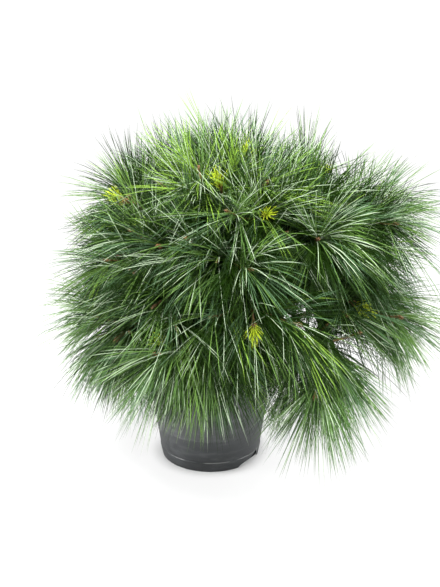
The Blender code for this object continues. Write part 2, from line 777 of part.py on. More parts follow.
def fitted_needle(owner, number, place, habit, spaces, filling):
    """The longest needle that fits at this place, turned a little where it has to be."""
    root, forward, around, lean, length = place
    for share in NEEDLE_SHARES:
        for turn in NEEDLE_TURNS:
            direction = fanned(forward, around + turn, lean * habit.lean)
            points = needle_points(root, direction, length * share, habit)
            stations, radii = needle_stations(points)
            if spaces.holds(owner, stations, radii) and not filling.crosses(stations, radii, number):
                filling.add(stations[1:], radii[1:])
                return points
    return None


def build_mass(owner, limb, spaces, finish):
    chance = random.Random("needles " + limb.name)
    pieces = bpy.data.collections.new("pieces of " + limb.name)
    bpy.context.scene.collection.children.link(pieces)
    shoots, habit = spaces.shoots[limb.name], HABITS[limb.name.split("_")[0]]
    root_radius = TRUNK_TIP_RADIUS if limb.name == "leader" else BOUGH_TIP_RADIUS
    body = shoot_body(shoots[0], STEM_SIDES, root_radius, stem_start(limb)[1])
    mass = add_object("needles_" + limb.name, body, finish)
    for shoot in shoots[1:]:
        add_object("shoot", shoot_body(shoot, SIDE_SHOOT_SIDES, SHOOT_RADIUS), collection=pieces)
    filling = Filling(shoots)
    for number, shoot in enumerate(shoots):
        for place in needle_places(shoot, chance):
            points = fitted_needle(owner, number, place, habit, spaces, filling)
            if points:
                roll = chance.uniform(-NEEDLE_ROLL, NEEDLE_ROLL)
                add_object("needle", needle_body(points, roll), collection=pieces)
    fuse(mass, pieces)
    return mass


def main():
    for obj in list(bpy.data.objects):
        bpy.data.objects.remove(obj)
    bark = material("bark", (0.16, 0.10, 0.065, 1.0), 0.85)
    build_pot(material("pot_plastic", (0.045, 0.047, 0.050, 1.0), 0.55))
    build_soil(material("potting_soil", (0.040, 0.027, 0.018, 1.0), 0.95))
    build_trunk(bark)
    limbs = [limb_of(tier, number) for tier in TIERS for number in range(tier.boughs)] + [leader_limb()]
    spaces = Spaces(limbs)
    tones = {tier: material("needles_" + tier, colour, 0.5) for tier, colour in FOLIAGE_TONES.items()}
    cutter = trunk_cutter()
    for owner, limb in enumerate(limbs):
        if limb.name != "leader":
            build_bough(limb, cutter, bark)
        build_mass(owner, limb, spaces, tones[limb.name.split("_")[0]])


main()
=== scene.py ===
"""A potted eastern white pine, a low spreading form, dressed over its packed solids.

Metres, +Z up. The origin is the middle of the pot's flat underside, and -Y is the side
that the plant is looked at from.

The limbs and the main shoots follow the same rule, sizes and seeds as the solids. Finer
twigs then leave those shoots, and bundles of five needles stand round the outer end of
every shoot and twig. The wood, the twigs, the buds and the needles are thin paths that
Geometry Nodes sweep into bodies.
"""

import math
import random
from typing import NamedTuple

import bmesh
import bpy
import numpy as np
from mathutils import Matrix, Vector


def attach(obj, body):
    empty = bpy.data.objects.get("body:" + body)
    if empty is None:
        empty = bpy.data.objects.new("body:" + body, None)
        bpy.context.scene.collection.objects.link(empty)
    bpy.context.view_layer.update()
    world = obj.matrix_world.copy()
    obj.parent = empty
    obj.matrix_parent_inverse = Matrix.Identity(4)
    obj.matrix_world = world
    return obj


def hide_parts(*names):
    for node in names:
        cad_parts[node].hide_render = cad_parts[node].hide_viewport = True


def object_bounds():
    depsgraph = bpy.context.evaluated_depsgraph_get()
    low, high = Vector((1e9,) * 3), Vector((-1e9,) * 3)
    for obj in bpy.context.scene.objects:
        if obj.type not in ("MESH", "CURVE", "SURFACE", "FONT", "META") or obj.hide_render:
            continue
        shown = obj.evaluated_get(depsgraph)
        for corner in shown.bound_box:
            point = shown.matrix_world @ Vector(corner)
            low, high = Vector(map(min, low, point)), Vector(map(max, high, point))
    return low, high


bl_info = {
    "name": "Potted White Pine",
    "version": (1, 0, 0),
    "blender": (4, 5, 0),
    "location": "3D View > Sidebar > Pine",
    "description": "Builds a potted dwarf eastern white pine over its solid model",
    "category": "Object",
}

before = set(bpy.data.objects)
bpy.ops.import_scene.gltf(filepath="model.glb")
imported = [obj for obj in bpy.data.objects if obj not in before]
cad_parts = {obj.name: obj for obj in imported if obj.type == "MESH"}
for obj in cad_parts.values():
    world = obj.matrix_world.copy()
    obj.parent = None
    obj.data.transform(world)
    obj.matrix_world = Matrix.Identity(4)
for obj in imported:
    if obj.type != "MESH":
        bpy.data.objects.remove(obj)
CAD_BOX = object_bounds()

UP = Vector((0.0, 0.0, 1.0))
GOLDEN_ANGLE = math.pi * (3.0 - math.sqrt(5.0))
# A full turn, as the random draws take it
TURN = 6.283

# Pot
POT_HEIGHT = 0.130
POT_FOOT_RADIUS = 0.0625
POT_SHOULDER_RADIUS = 0.0785
POT_SHOULDER_HEIGHT = 0.110
POT_COLLAR_STEP = 0.0022
POT_LIP_RADIUS = 0.0850
POT_LIP_DROP = 0.0060
POT_WALL = 0.0018
FOOT_BAND_HEIGHT = 0.0140
FOOT_BAND_STEP = 0.0006
FOOT_RING_WIDTH = 0.0030
FOOT_RING_SLOPE = 0.0015
BASE_DISC_RADIUS = 0.0380
BASE_THICKNESS = 0.0022
CHANNEL_HEIGHT = 0.0050
CHANNEL_SLOPE = 0.0030
DRAIN_HOLES = 6
DRAIN_HOLE_RADIUS = 0.0045
DRAIN_HOLE_SIDES = 20
CUTTER_OVERRUN = 0.0020
NOTCH_AZIMUTHS = (-34.5, 145.5)
NOTCH_HALF_WIDTH = 0.0215
NOTCH_HEIGHT = 0.0068
NOTCH_REACH = 0.0085
NOTCH_SIDES = 40
# The wedge above the front notch, whose cut faces take a near-black painted shade
WEDGE_AZIMUTH = -31.5
WEDGE_CORNERS = ((-0.0050, 0.0074), (0.0100, 0.0074), (0.0068, 0.0142))
WEDGE_BACK = 0.0500
TURNING_STEPS = 112
# A painted highlight: a pale, broken ring along the foot band's ledge
HIGHLIGHT_RING_HEIGHT = 0.0136
HIGHLIGHT_RING_WIDTH = 0.0014
WALL_RIDGES = (0.078, 0.046)
WALL_RIDGE_REACH = 0.0010
WALL_RIDGE_STEP = 0.00022
WALL_RIDGE_ROUNDING = 0.0002
LONGEST_ROUNDING = 0.45

# Soil
SOIL_TOP = 0.1160
SOIL_CROWNING = 0.0055
SOIL_RINGS = 26
SOIL_GAP = 0.0006
SOIL_RIM = 0.001
SOIL_LEVEL_SHARE = 0.3
SOIL_SEEN_ABOVE = 0.1
SOIL_FACING_UP = 0.5
SOIL_LUMPS = ((3.0, 240.0, 1.0), (8.0, 620.0, 0.5))
CRUMB_SHAPES = ((0.5, 0.5, 0.35), (1.5, 1.2, 0.9))
CRUMB_TURNS = ((-0.6, -0.6, 0.0), (0.6, 0.6, TURN))

# Trunk
TRUNK_TOP = 0.292
TRUNK_LEAN = 0.040
TRUNK_SWAY = 0.006
TRUNK_RADIUS = 0.0092
TRUNK_TIP_RADIUS = 0.0048
ROOT_FLARE = 0.0060
ROOT_FLARE_HEIGHT = 0.016

# Limbs
CROWN_AXIS = Vector((0.045, 0.0, 0.0))
FORK_STAGGER = 0.024
FORK_TURN = 0.618
BOUGH_SHARE = 0.52
BOUGH_TO_TRUNK = 0.50
BOUGH_TIP_RADIUS = 0.0026
LEAVING_PITCH = 26.0
LEAVING_SHARE = 0.42
ARRIVING_SHARE = 0.40
SHORT_STEP = 0.004

# Shoots
SHOOT_RADIUS = 0.0024
LEAST_CORE_RADIUS = 0.0040
CORE_GAP = 0.0010
SIDE_SHOOT_LENGTH = 0.060
SIDE_SHOOT_LENGTH_RANGE = (0.85, 1.15)
SIDE_SHOOT_PLACES = (0.10, 0.36, 0.62)
LEAST_SHOOT_GAP = 0.021
SIDE_SHOOT_ANGLE = 50.0
STRAY_PLACE = 0.04
STRAY_ANGLE = 6.0
STRAY_ROLL = 0.45
LEADER_SIDE_SHOOTS = 4
LEADER_FIRST_SHOOT = 0.16
LEADER_SHOOT_STEP = 0.15
LEADER_FIRST_ROLL = 3.9
LEADER_BUD = Vector((0.045, -0.006, 0.392))
LEADER_REACHES = (0.3, 0.4)
LOWEST_NEEDLE = 0.016
SPACE_GAP = 0.0008
POT_GAP = 0.0016
TRUNK_SAMPLES = 60
BOUGH_SAMPLES = 31
SHOOT_SAMPLES = 17


class Tier(NamedTuple):
    """Boughs that leave the trunk near one height, spread evenly round the crown's axis."""

    name: str
    boughs: int
    first_azimuth: float
    reach: float
    height: float
    pitch: float
    fork_height: float


class Departure(NamedTuple):
    """How far a limb's bud departs from its tier: turned, farther out, higher, steeper."""

    turn: float
    farther: float = 0.0
    higher: float = 0.0
    steeper: float = 0.0


class Limb(NamedTuple):
    """One curve from the trunk to a bud, as the four control points of a Bezier curve."""

    name: str
    curve: tuple


class SkyGap(NamedTuple):
    """A round way, from its near end to its far one, that needles leave open."""

    near: Vector
    far: Vector
    radius: float


class Shoot(NamedTuple):
    """A twig that bears needles: its limb's name, its kind, and its evenly spaced points."""

    limb: str
    kind: str
    points: list


TIERS = (
    Tier("low", 8, -171.0, 0.184, 0.184, -40.0, 0.142),
    Tier("middle", 7, 179.0, 0.174, 0.262, -8.0, 0.176),
    Tier("upper", 7, -134.0, 0.150, 0.326, 20.0, 0.210),
    Tier("high", 5, -117.0, 0.090, 0.364, 46.0, 0.244),
)

DEPARTURES = {
    "low_1": Departure(2.0, -0.016, 0.014, -6.0),
    "low_2": Departure(-26.0, -0.008, 0.012, 0.0),
    "low_3": Departure(-25.0, -0.004, 0.014, -24.0),
    "low_4": Departure(-14.0, -0.014, -0.020, -22.0),
    "low_5": Departure(-12.0, -0.004, 0.006, 2.0),
    "low_6": Departure(-14.0),
    "low_7": Departure(-9.0, 0.004, -0.010, -4.0),
    "low_8": Departure(-4.0, -0.004, 0.006),
    "middle_1": Departure(0.0, -0.020, 0.010, -6.0),
    "middle_2": Departure(0.0, -0.004, -0.004, -8.0),
    "middle_3": Departure(-10.0, 0.000, -0.008, -24.0),
    "middle_4": Departure(2.0, -0.032, -0.030, -12.0),
    "middle_5": Departure(-20.0, -0.034, 0.014, 2.0),
    "middle_6": Departure(-16.0),
    "middle_7": Departure(-8.0, -0.004, 0.004),
    "upper_1": Departure(0.0, -0.004, -0.004, -4.0),
    "upper_2": Departure(-21.0, 0.000, -0.006, -20.0),
    "upper_3": Departure(-9.0, -0.012, 0.010, -12.0),
    "upper_4": Departure(-15.0, 0.024, 0.012, 8.0),
    "upper_5": Departure(-10.0, -0.004, -0.046, -24.0),
    "upper_6": Departure(-8.0, 0.002, 0.000),
    "upper_7": Departure(-6.0, 0.002, 0.006, -2.0),
    "high_1": Departure(3.0, -0.012, 0.018, 10.0),
    "high_2": Departure(-35.0, 0.020, -0.002, -24.0),
    "high_3": Departure(-45.0, -0.006, -0.020, -34.0),
    "high_4": Departure(-33.0, -0.022, -0.036, -24.0),
    "high_5": Departure(-25.0, -0.002, -0.022, -14.0),
}

# Finer twigs, which only the dressed crown has
TWIG_PLACES = {"stem": (0.30, 0.62), "side": (0.52,)}
TWIG_LENGTH = 0.036
TWIG_ANGLE = 44.0
LEAST_TWIG_GAP = 0.014
TWIG_STRAY_PLACE = 0.06
TWIG_STRAY_ANGLE = 8.0
TWIG_LENGTH_RANGE = (0.8, 1.2)

# How the wood and the twigs are swept
TRUNK_SUNK = 0.002
COLLAR_FADE = 9.0
BEND_POINTS = 7
TWIG_GIRTHS = {"stem": (1.05, 0.62), "side": (0.85, 0.55), "twig": (0.66, 0.50)}
TWIG_SWELLING = 0.06
BARK_SQUEEZE = (1.0, 1.0, 0.4)
CLOSING_DISTANCE = 0.00001

# Buds, whose girths, scales and places are shares of a bud's length
BUD_SIZES = {"stem": 1.0, "side": 0.85, "twig": 0.65}
BUD_SIZE_RANGE = (0.85, 1.15)
BUD_SUNK = 0.001
BUD_PLACES = np.linspace(0.0, 1.0, 5)
BUD_GIRTH = 0.19
BUD_PROFILE = np.array((0.62, 1.0, 0.92, 0.5, 0.0))
SIDE_BUDS = {"stem": 2, "side": 1, "twig": 1}
SIDE_BUD_LEAN = 0.6
SIDE_BUD_SIZE = 0.55
LAST_SCALE = 0.62
SCALE_LENGTH = 0.34
SCALE_GIRTH = 0.075
SCALE_PROFILE = np.array((0.7, 1.0, 0.9, 0.55, 0.0))
SCALE_BULGE = 1.08
SCALE_TAPER = 1.1
SCALE_TAPER_START = 0.3

# Needles
NEEDLE_LENGTH = 0.098
NEEDLE_LENGTH_RANGE = (0.58, 1.12)
NEEDLE_LENGTH_BIAS = 0.8
NEEDLES_IN_BUNDLE = 5
NEEDLE_PLACES = np.array((0.0, 0.22, 0.50, 0.80, 1.0))
NEEDLE_SWELL = np.array((0.80, 1.0, 1.0, 0.88, 0.0))
NEEDLE_ZONES = {"stem": 0.066, "side": 0.048, "twig": 0.032}
LONGEST_ZONE_SHARE = 0.86
NEEDLE_LEAN_BACK = 76.0
NEEDLE_LEAN_TIP = 26.0
NEEDLE_LEAN_BIAS = 0.8
NEEDLE_STRAY = 13.0
NEEDLE_STRAY_AROUND = 0.4
NEEDLE_ROOT = 0.6
NEEDLE_LEANS = {"low": 0.80, "middle": 0.88, "upper": 0.95, "high": 1.0, "leader": 1.0}
NEEDLE_FALLS = {"low": 0.50, "middle": 0.30, "upper": 0.12, "high": 0.0, "leader": 0.0}
NEEDLE_SAGS = {
    "low": (0.14, 0.36),
    "middle": (0.14, 0.38),
    "upper": (0.14, 0.36),
    "high": (0.08, 0.26),
    "leader": (0.05, 0.18),
}
SPLAY = 0.145
SPLAY_RANGE = (0.3, 1.3)
SPLAY_BIAS = 1.25
CURL = 0.024
BUNDLE_LENGTHS = (0.90, 1.0)
SHORTEST_KEPT = 0.45

# The tufts of young needles in opening buds
TUFT_SEED = 7
TUFT_NEEDLES = 26
TUFT_LEAN_TIP = 8.0
TUFT_LEAN_GAIN = 34.0
TUFT_DEPTH = 0.010
TUFT_LENGTH_RANGE = (0.6, 1.15)
TUFT_THICKNESS = 0.75

# How far needles stay from the ground, the pot, the soil and the wood, how far past the
# solids' box they may reach, and how many points of them are tested at a time
GROUND_CLEARANCE = 0.010
POT_CLEARANCE = 0.002
SOIL_CLEARANCE = 0.001
WOOD_CLEARANCE = 0.0006
BOX_MARGIN = 0.006
TEST_BATCH = 4000

# Ways that needles leave open beyond each bud, and from some buds towards the viewer,
# and the share of the needles that cross them all the same
BUD_VIEW_LENGTH = 0.060
BUD_VIEW_RADIUS = 0.0075
SEEN_LENGTH = 0.130
STRAND_SHARE = 0.10

# Where the crown is, to tell its shaded inside from its outer part; bundles inside take the deep tone as
# painted shade
CROWN_MIDDLE = (0.040, 0.0, 0.235)
CROWN_SPREAD = (0.250, 0.260, 0.215)
SHADED_WITHIN = 0.55
SHADE_FADE = 0.38

# How the limbs differ in tone, and how full of needles they are; each limb's own deep share is painted
# shade, raised on limbs that sit in shade and lowered on those that catch more light
LIME_LIMBS = {
    "high_1": 0.38, "high_2": 0.06, "leader": 0.12, "upper_7": 0.04,
    "middle_1": 0.10, "low_1": 0.10, "low_8": 0.08,
}
DEEP_SHADE_LIMBS = {
    "high_1": 0.10, "high_5": 0.50, "upper_1": 0.15, "upper_6": 0.50, "upper_7": 0.45,
    "middle_1": -0.30, "middle_3": 0.15, "middle_4": -0.20,
    "low_1": -0.35, "low_2": -0.15, "low_4": -0.40, "low_5": -0.35, "low_8": -0.30,
}
FRESH_LIMBS = {"low_1": 0.30, "low_8": 0.30, "middle_1": 0.25, "middle_7": 0.20}
FULLNESS = {
    "low_1": 0.8, "low_3": 0.9, "low_4": 0.85, "low_5": 0.6, "low_6": 0.7, "low_8": 0.7,
    "middle_1": 0.8, "middle_3": 0.8, "middle_4": 0.85, "middle_5": 0.8, "middle_7": 0.7,
    "upper_4": 0.7, "upper_6": 0.85, "upper_7": 0.88, "high_1": 0.75, "high_2": 0.7,
    "high_3": 0.65, "high_4": 0.65, "high_5": 0.65, "leader": 0.65,
}

# How a tone's share follows from the height and from how far out a bundle stands
STRAY_LIME = 0.01
FRESH_FROM = 0.08
FRESH_RISE = 0.32
FRESH_BELOW = 0.5
FRESH_GAIN = 0.9
# How closely the pale tone, partly a painted highlight, keeps to the bundles far out
PALE_HIGHLIGHT_BIAS = 1.5

# The share of a shoot's bundles, from its tip, that are this year's
NEWEST_SHARE = 0.10
LIME_TIPS_FROM = 0.1

# The limbs whose end bud has opened, and those whose closed bud is seen, with the
# radius of the way that needles leave open towards the viewer
OPEN_BUDS = ("high_1", "high_2", "leader", "upper_7", "middle_3", "middle_4")
SEEN_BUDS = {
    "high_1": 0.005, "high_2": 0.005, "upper_1": 0.004, "upper_2": 0.005, "upper_7": 0.007,
    "middle_1": 0.006, "middle_2": 0.005, "middle_3": 0.006, "middle_4": 0.008,
    "low_1": 0.005, "low_2": 0.005,
}

# Where the camera stands
VIEWER = Vector((0.0125, -1.766, 0.939))

# Ways through the crown: the solids leave the first ones open too
SKY_GAPS = (
    SkyGap(Vector((0.154, -0.160, 0.225)), Vector((0.185, 0.200, 0.064)), 0.010),
    SkyGap(Vector((0.173, -0.160, 0.214)), Vector((0.209, 0.200, 0.052)), 0.011),
    SkyGap(Vector((0.192, -0.160, 0.199)), Vector((0.232, 0.200, 0.033)), 0.010),
    SkyGap(Vector((0.211, -0.160, 0.181)), Vector((0.256, 0.200, 0.011)), 0.008),
    SkyGap(Vector((-0.128, -0.120, 0.222)), Vector((-0.154, 0.200, 0.082)), 0.007),
    SkyGap(Vector((0.158, -0.082, 0.435)), Vector((0.183, 0.207, 0.348)), 0.008),
    SkyGap(Vector((0.154, -0.086, 0.424)), Vector((0.179, 0.202, 0.336)), 0.006),
    SkyGap(Vector((0.153, -0.091, 0.411)), Vector((0.177, 0.196, 0.321)), 0.004),
)
GLINTS = (
    SkyGap(Vector((0.090, -0.160, 0.255)), Vector((0.107, 0.200, 0.101)), 0.0045),
    SkyGap(Vector((0.108, -0.160, 0.262)), Vector((0.129, 0.200, 0.111)), 0.0045),
    SkyGap(Vector((0.120, -0.160, 0.247)), Vector((0.144, 0.200, 0.092)), 0.0055),
    SkyGap(Vector((0.100, -0.160, 0.245)), Vector((0.120, 0.200, 0.089)), 0.0040),
)

# The one spot of dry, withered needles
DEAD_SPOT = Vector((-0.088, -0.006, 0.356))
DEAD_SPREAD = 0.016
DEAD_VIEW_SHARE = 0.06
DEAD_VIEW_RADIUS = 0.005
WITHERED_LENGTH = 0.24

# The roughness of the needles' tones, in the order in which a path's tone counts them
TONE_ROUGHNESS = {
    "deep": 0.42, "green": 0.40, "blue": 0.45, "fresh": 0.40,
    "lime": 0.42, "pale": 0.50, "young": 0.45, "dry": 0.70,
}
TONES = tuple(TONE_ROUGHNESS)

# The needle pieces, and the limbs whose needles each one holds
NEEDLE_PIECES = {
    "needles_low_front": ("low_1", "low_2", "low_3", "low_4"),
    "needles_low_back": ("low_5", "low_6", "low_7", "low_8"),
    "needles_middle_front": ("middle_1", "middle_2", "middle_3", "middle_4"),
    "needles_middle_back": ("middle_5", "middle_6", "middle_7"),
    "needles_upper_front": ("upper_1", "upper_2", "upper_3", "upper_4"),
    "needles_upper_back": ("upper_5", "upper_6", "upper_7"),
    "needles_crest_front": ("high_1", "high_2", "high_3"),
    "needles_crest_back": ("high_4", "high_5", "leader"),
}

# Finishes
MOTTLING_DETAILS = (("Patch Scale", 5.0), ("Speck Scale", 2.0))
MOTTLING_ROUGHNESS = 0.6
MOTTLING_SPAN = (0.3, 0.7)
SPECK_RELIEF = 0.35
# How the painted highlight ring along the foot band is broken up
HIGHLIGHT_BREAKUP_SCALE = 55.0
HIGHLIGHT_BREAKUP_DETAIL = 3.0
HIGHLIGHT_BREAKUP_SPAN = (0.42, 0.62)
PLAIN_GLOSS = 0.10

# Stage
LAMP_PLACES = {"key": (-0.50, -0.80, 2.25), "fill": (1.45, -0.6, 1.2), "side": (-1.90, -0.25, 0.90)}
LAMP_AIM = Vector((0.03, 0.0, 0.22))
LAMP_SIZE = 1.0
CAMERA_DOWN = 22.15
CAMERA_LENS = 93.03
CAMERA_SENSOR = 36.0
FLOOR_REACH = 30.0
GLOW_STRENGTH = 1.05
GLOW_FADE = (0.3, 1.2)
CONTACT_REACH = 0.020
CONTACT_SPAN = (0.35, 0.95)


def bezier(curve, share):
    rest = 1.0 - share
    weights = (rest**3, 3 * rest**2 * share, 3 * rest * share**2, share**3)
    return sum((point * weight for point, weight in zip(curve, weights)), Vector())


def heading(azimuth, pitch):
    """The unit vector at this azimuth and pitch, in degrees."""
    turn, rise = math.radians(azimuth), math.radians(pitch)
    return Vector((math.cos(turn) * math.cos(rise), math.sin(turn) * math.cos(rise), math.sin(rise)))


def two_sides(direction):
    """Two unit vectors square to direction: a level one, and the one above it."""
    level = UP.cross(direction)
    if level.length < 1e-3:
        level = Vector((0.0, 1.0, 0.0))
    level.normalize()
    return level, direction.cross(level)


def fanned(forward, around, lean):
    """The direction that leans away from forward by lean, turned round it by around."""
    level, above = two_sides(forward)
    outward = level * math.cos(around) + above * math.sin(around)
    return (forward * math.cos(lean) + outward * math.sin(lean)).normalized()


def path_at(points, share):
    """The point and the direction at this share of a path of evenly spaced points."""
    place = min(max(share, 0.0), 1.0) * (len(points) - 1)
    i = min(int(place), len(points) - 2)
    return points[i].lerp(points[i + 1], place - i), (points[i + 1] - points[i]).normalized()


def path_length(points):
    return sum((b - a).length for a, b in zip(points, points[1:]))


def samples_along(points, count):
    return [path_at(points, i / (count - 1))[0] for i in range(count)]


def as_array(points):
    return np.array([tuple(point) for point in points])


def distances(points, others):
    """The distance of each point, down the rows, from each of the others, across."""
    return np.linalg.norm(points[:, None] - others[None], axis=2)


def trunk_axis(height):
    """The middle of the trunk at this height: a lean that grows, with a slight sway."""
    share = max((height - SOIL_TOP) / (TRUNK_TOP - SOIL_TOP), 0.0)
    return Vector((TRUNK_LEAN * share**1.2, TRUNK_SWAY * math.sin(math.pi * share), height))


def trunk_radius(height):
    share = (height - SOIL_TOP) / (TRUNK_TOP - SOIL_TOP)
    flare = ROOT_FLARE * math.exp(-(height - SOIL_TOP) / ROOT_FLARE_HEIGHT)
    return TRUNK_RADIUS + (TRUNK_TIP_RADIUS - TRUNK_RADIUS) * share + flare


def bough_radius(limb, share):
    """The bough's radius at this share of its length, in keeping with the trunk's there."""
    root = BOUGH_TO_TRUNK * trunk_radius(limb.curve[0].z)
    return root + (BOUGH_TIP_RADIUS - root) * share


def wall_radius(height):
    """The outer radius of the pot's plain wall between its foot band and its collar."""
    taper = (POT_SHOULDER_RADIUS - POT_FOOT_RADIUS) / POT_SHOULDER_HEIGHT
    return POT_FOOT_RADIUS + taper * height


def pot_radius(height):
    """The pot's widest outer radius at this height."""
    if height > POT_SHOULDER_HEIGHT:
        return POT_LIP_RADIUS
    return wall_radius(max(height, 0.0)) + FOOT_BAND_STEP


def limb_of(tier, number):
    name = f"{tier.name}_{number + 1}"
    departure = DEPARTURES[name]
    azimuth = tier.first_azimuth + 360.0 * number / tier.boughs + departure.turn
    bud = CROWN_AXIS + heading(azimuth, 0.0) * (tier.reach + departure.farther)
    bud.z = tier.height + departure.higher
    fork = trunk_axis(tier.fork_height + FORK_STAGGER * (number * FORK_TURN % 1.0))
    outward = Vector((bud.x - fork.x, bud.y - fork.y, 0.0))
    bearing = math.degrees(math.atan2(outward.y, outward.x))
    leave = heading(bearing, LEAVING_PITCH + 0.5 * tier.pitch)
    arrive = heading(azimuth, tier.pitch + departure.steeper)
    leave, arrive = leave * outward.length * LEAVING_SHARE, arrive * outward.length * ARRIVING_SHARE
    return Limb(name, (fork, fork + leave, bud - arrive, bud))


def leader_limb():
    """The stem that carries the trunk's line on to the top bud."""
    foot = trunk_axis(TRUNK_TOP)
    forward = (foot - trunk_axis(TRUNK_TOP - SHORT_STEP)).normalized()
    leave, arrive = [(LEADER_BUD.z - foot.z) * reach for reach in LEADER_REACHES]
    return Limb("leader", (foot, foot + forward * leave, LEADER_BUD - UP * arrive, LEADER_BUD))


def stem_points(limb, steps=8):
    """The part of the limb inside its mass."""
    start = 0.0 if limb.name == "leader" else BOUGH_SHARE
    return [bezier(limb.curve, start + (1.0 - start) * i / steps) for i in range(steps + 1)]


def side_shoots(limb, stem):
    """The side shoots of a mass, left and right in turn, or round the leader."""
    chance = random.Random(limb.name)
    if limb.name == "leader":
        places = [LEADER_FIRST_SHOOT + LEADER_SHOOT_STEP * k for k in range(LEADER_SIDE_SHOOTS)]
        rolls = [LEADER_FIRST_ROLL + GOLDEN_ANGLE * k for k in range(LEADER_SIDE_SHOOTS)]
    else:
        places = SIDE_SHOOT_PLACES
        first = chance.choice((0.0, math.pi))
        rolls = [first + math.pi * k for k in range(len(places))]
    for place, roll in zip(places, rolls):
        root, forward = path_at(stem, place + chance.uniform(-STRAY_PLACE, STRAY_PLACE))
        lean = math.radians(SIDE_SHOOT_ANGLE + chance.uniform(-STRAY_ANGLE, STRAY_ANGLE))
        direction = fanned(forward, roll + chance.uniform(-STRAY_ROLL, STRAY_ROLL), lean)
        yield [root, root + direction * SIDE_SHOOT_LENGTH * chance.uniform(*SIDE_SHOOT_LENGTH_RANGE)]


class Crown:
    """The limbs, and every shoot that has room: stems, side shoots, then the finer twigs."""

    def __init__(self):
        self.limbs = [limb_of(tier, number) for tier in TIERS for number in range(tier.boughs)]
        self.limbs.append(leader_limb())
        heights = np.linspace(SOIL_TOP, TRUNK_TOP, TRUNK_SAMPLES)
        wood = [(trunk_axis(height), trunk_radius(height)) for height in heights]
        for limb in self.limbs[:-1]:
            for share in np.linspace(0.0, 1.0, BOUGH_SAMPLES):
                wood.append((bezier(limb.curve, BOUGH_SHARE * share), bough_radius(limb, share)))
        self.wood = as_array([point for point, radius in wood])
        self.wood_radii = np.array([radius for point, radius in wood])
        self.samples, self.owners = np.empty((0, 3)), np.empty(0, int)
        self.shoots = []
        for owner, limb in enumerate(self.limbs):
            self.bear(owner, "stem", stem_points(limb))
        for owner, limb in enumerate(self.limbs):
            for points in side_shoots(limb, stem_points(limb)):
                tested = as_array(samples_along(points, SHOOT_SAMPLES)[SHOOT_SAMPLES // 3 :])
                others = self.samples[self.owners != owner]
                if distances(tested, others).min() > LEAST_SHOOT_GAP and self.clear_of_fixed(tested):
                    self.bear(owner, "side", points)
        self.bear_twigs()

    def bear(self, owner, kind, points):
        self.shoots.append(Shoot(self.limbs[owner].name, kind, points))
        borne = as_array(samples_along(points, SHOOT_SAMPLES))
        self.samples = np.vstack([self.samples, borne])
        self.owners = np.append(self.owners, [owner] * len(borne))

    def clear_of_fixed(self, tested):
        """True if a thin core round these points is clear of the ground, the pot and the wood."""
        radius = LEAST_CORE_RADIUS + CORE_GAP
        if (tested[:, 2] - radius).min() < LOWEST_NEEDLE:
            return False
        for x, y, z in tested:
            if z < POT_HEIGHT + radius + POT_GAP and math.hypot(x, y) < pot_radius(z) + radius + POT_GAP:
                return False
        to_wood = (distances(tested, self.wood) - self.wood_radii).min(axis=1)
        return bool((to_wood > radius + SPACE_GAP).all())

    def bear_twigs(self):
        """Finer twigs on every stem and side shoot, wherever no other shoot is close."""
        owners = {limb.name: owner for owner, limb in enumerate(self.limbs)}
        for shoot in list(self.shoots):
            chance = random.Random(f"twigs {shoot.limb} {tuple(shoot.points[-1])[0]:.5f}")
            roll = chance.uniform(0.0, 2.0 * math.pi)
            for place in TWIG_PLACES[shoot.kind]:
                roll += GOLDEN_ANGLE
                place += chance.uniform(-TWIG_STRAY_PLACE, TWIG_STRAY_PLACE)
                root, forward = path_at(shoot.points, place)
                lean = math.radians(TWIG_ANGLE + chance.uniform(-TWIG_STRAY_ANGLE, TWIG_STRAY_ANGLE))
                length = TWIG_LENGTH * chance.uniform(*TWIG_LENGTH_RANGE)
                points = [root, root + fanned(forward, roll, lean) * length]
                tested = as_array(samples_along(points, SHOOT_SAMPLES)[SHOOT_SAMPLES // 2 :])
                if distances(tested, self.samples).min() > LEAST_TWIG_GAP and self.clear_of_fixed(tested):
                    self.bear(owners[shoot.limb], "twig", points)


# Materials


def node(tree, kind, given=None, **settings):
    """Adds a node. Each of its given inputs takes a value, or a socket to be linked from."""
    made = tree.nodes.new(kind)
    for name, value in settings.items():
        setattr(made, name, value)
    for key, value in (given or {}).items():
        if isinstance(value, bpy.types.NodeSocket):
            tree.links.new(value, made.inputs[key])
        else:
            made.inputs[key].default_value = value
    return made


def maths(tree, operation, *values):
    """The result of one step of arithmetic on values or sockets."""
    return node(tree, "ShaderNodeMath", dict(enumerate(values)), operation=operation).outputs[0]


def mapped(tree, value, low, high, to_low=0.0, to_high=1.0):
    """The value, taken from the span low to high into the span to_low to to_high."""
    spans = {"From Min": low, "From Max": high, "To Min": to_low, "To Max": to_high}
    return node(tree, "ShaderNodeMapRange", {"Value": value, **spans}).outputs["Result"]


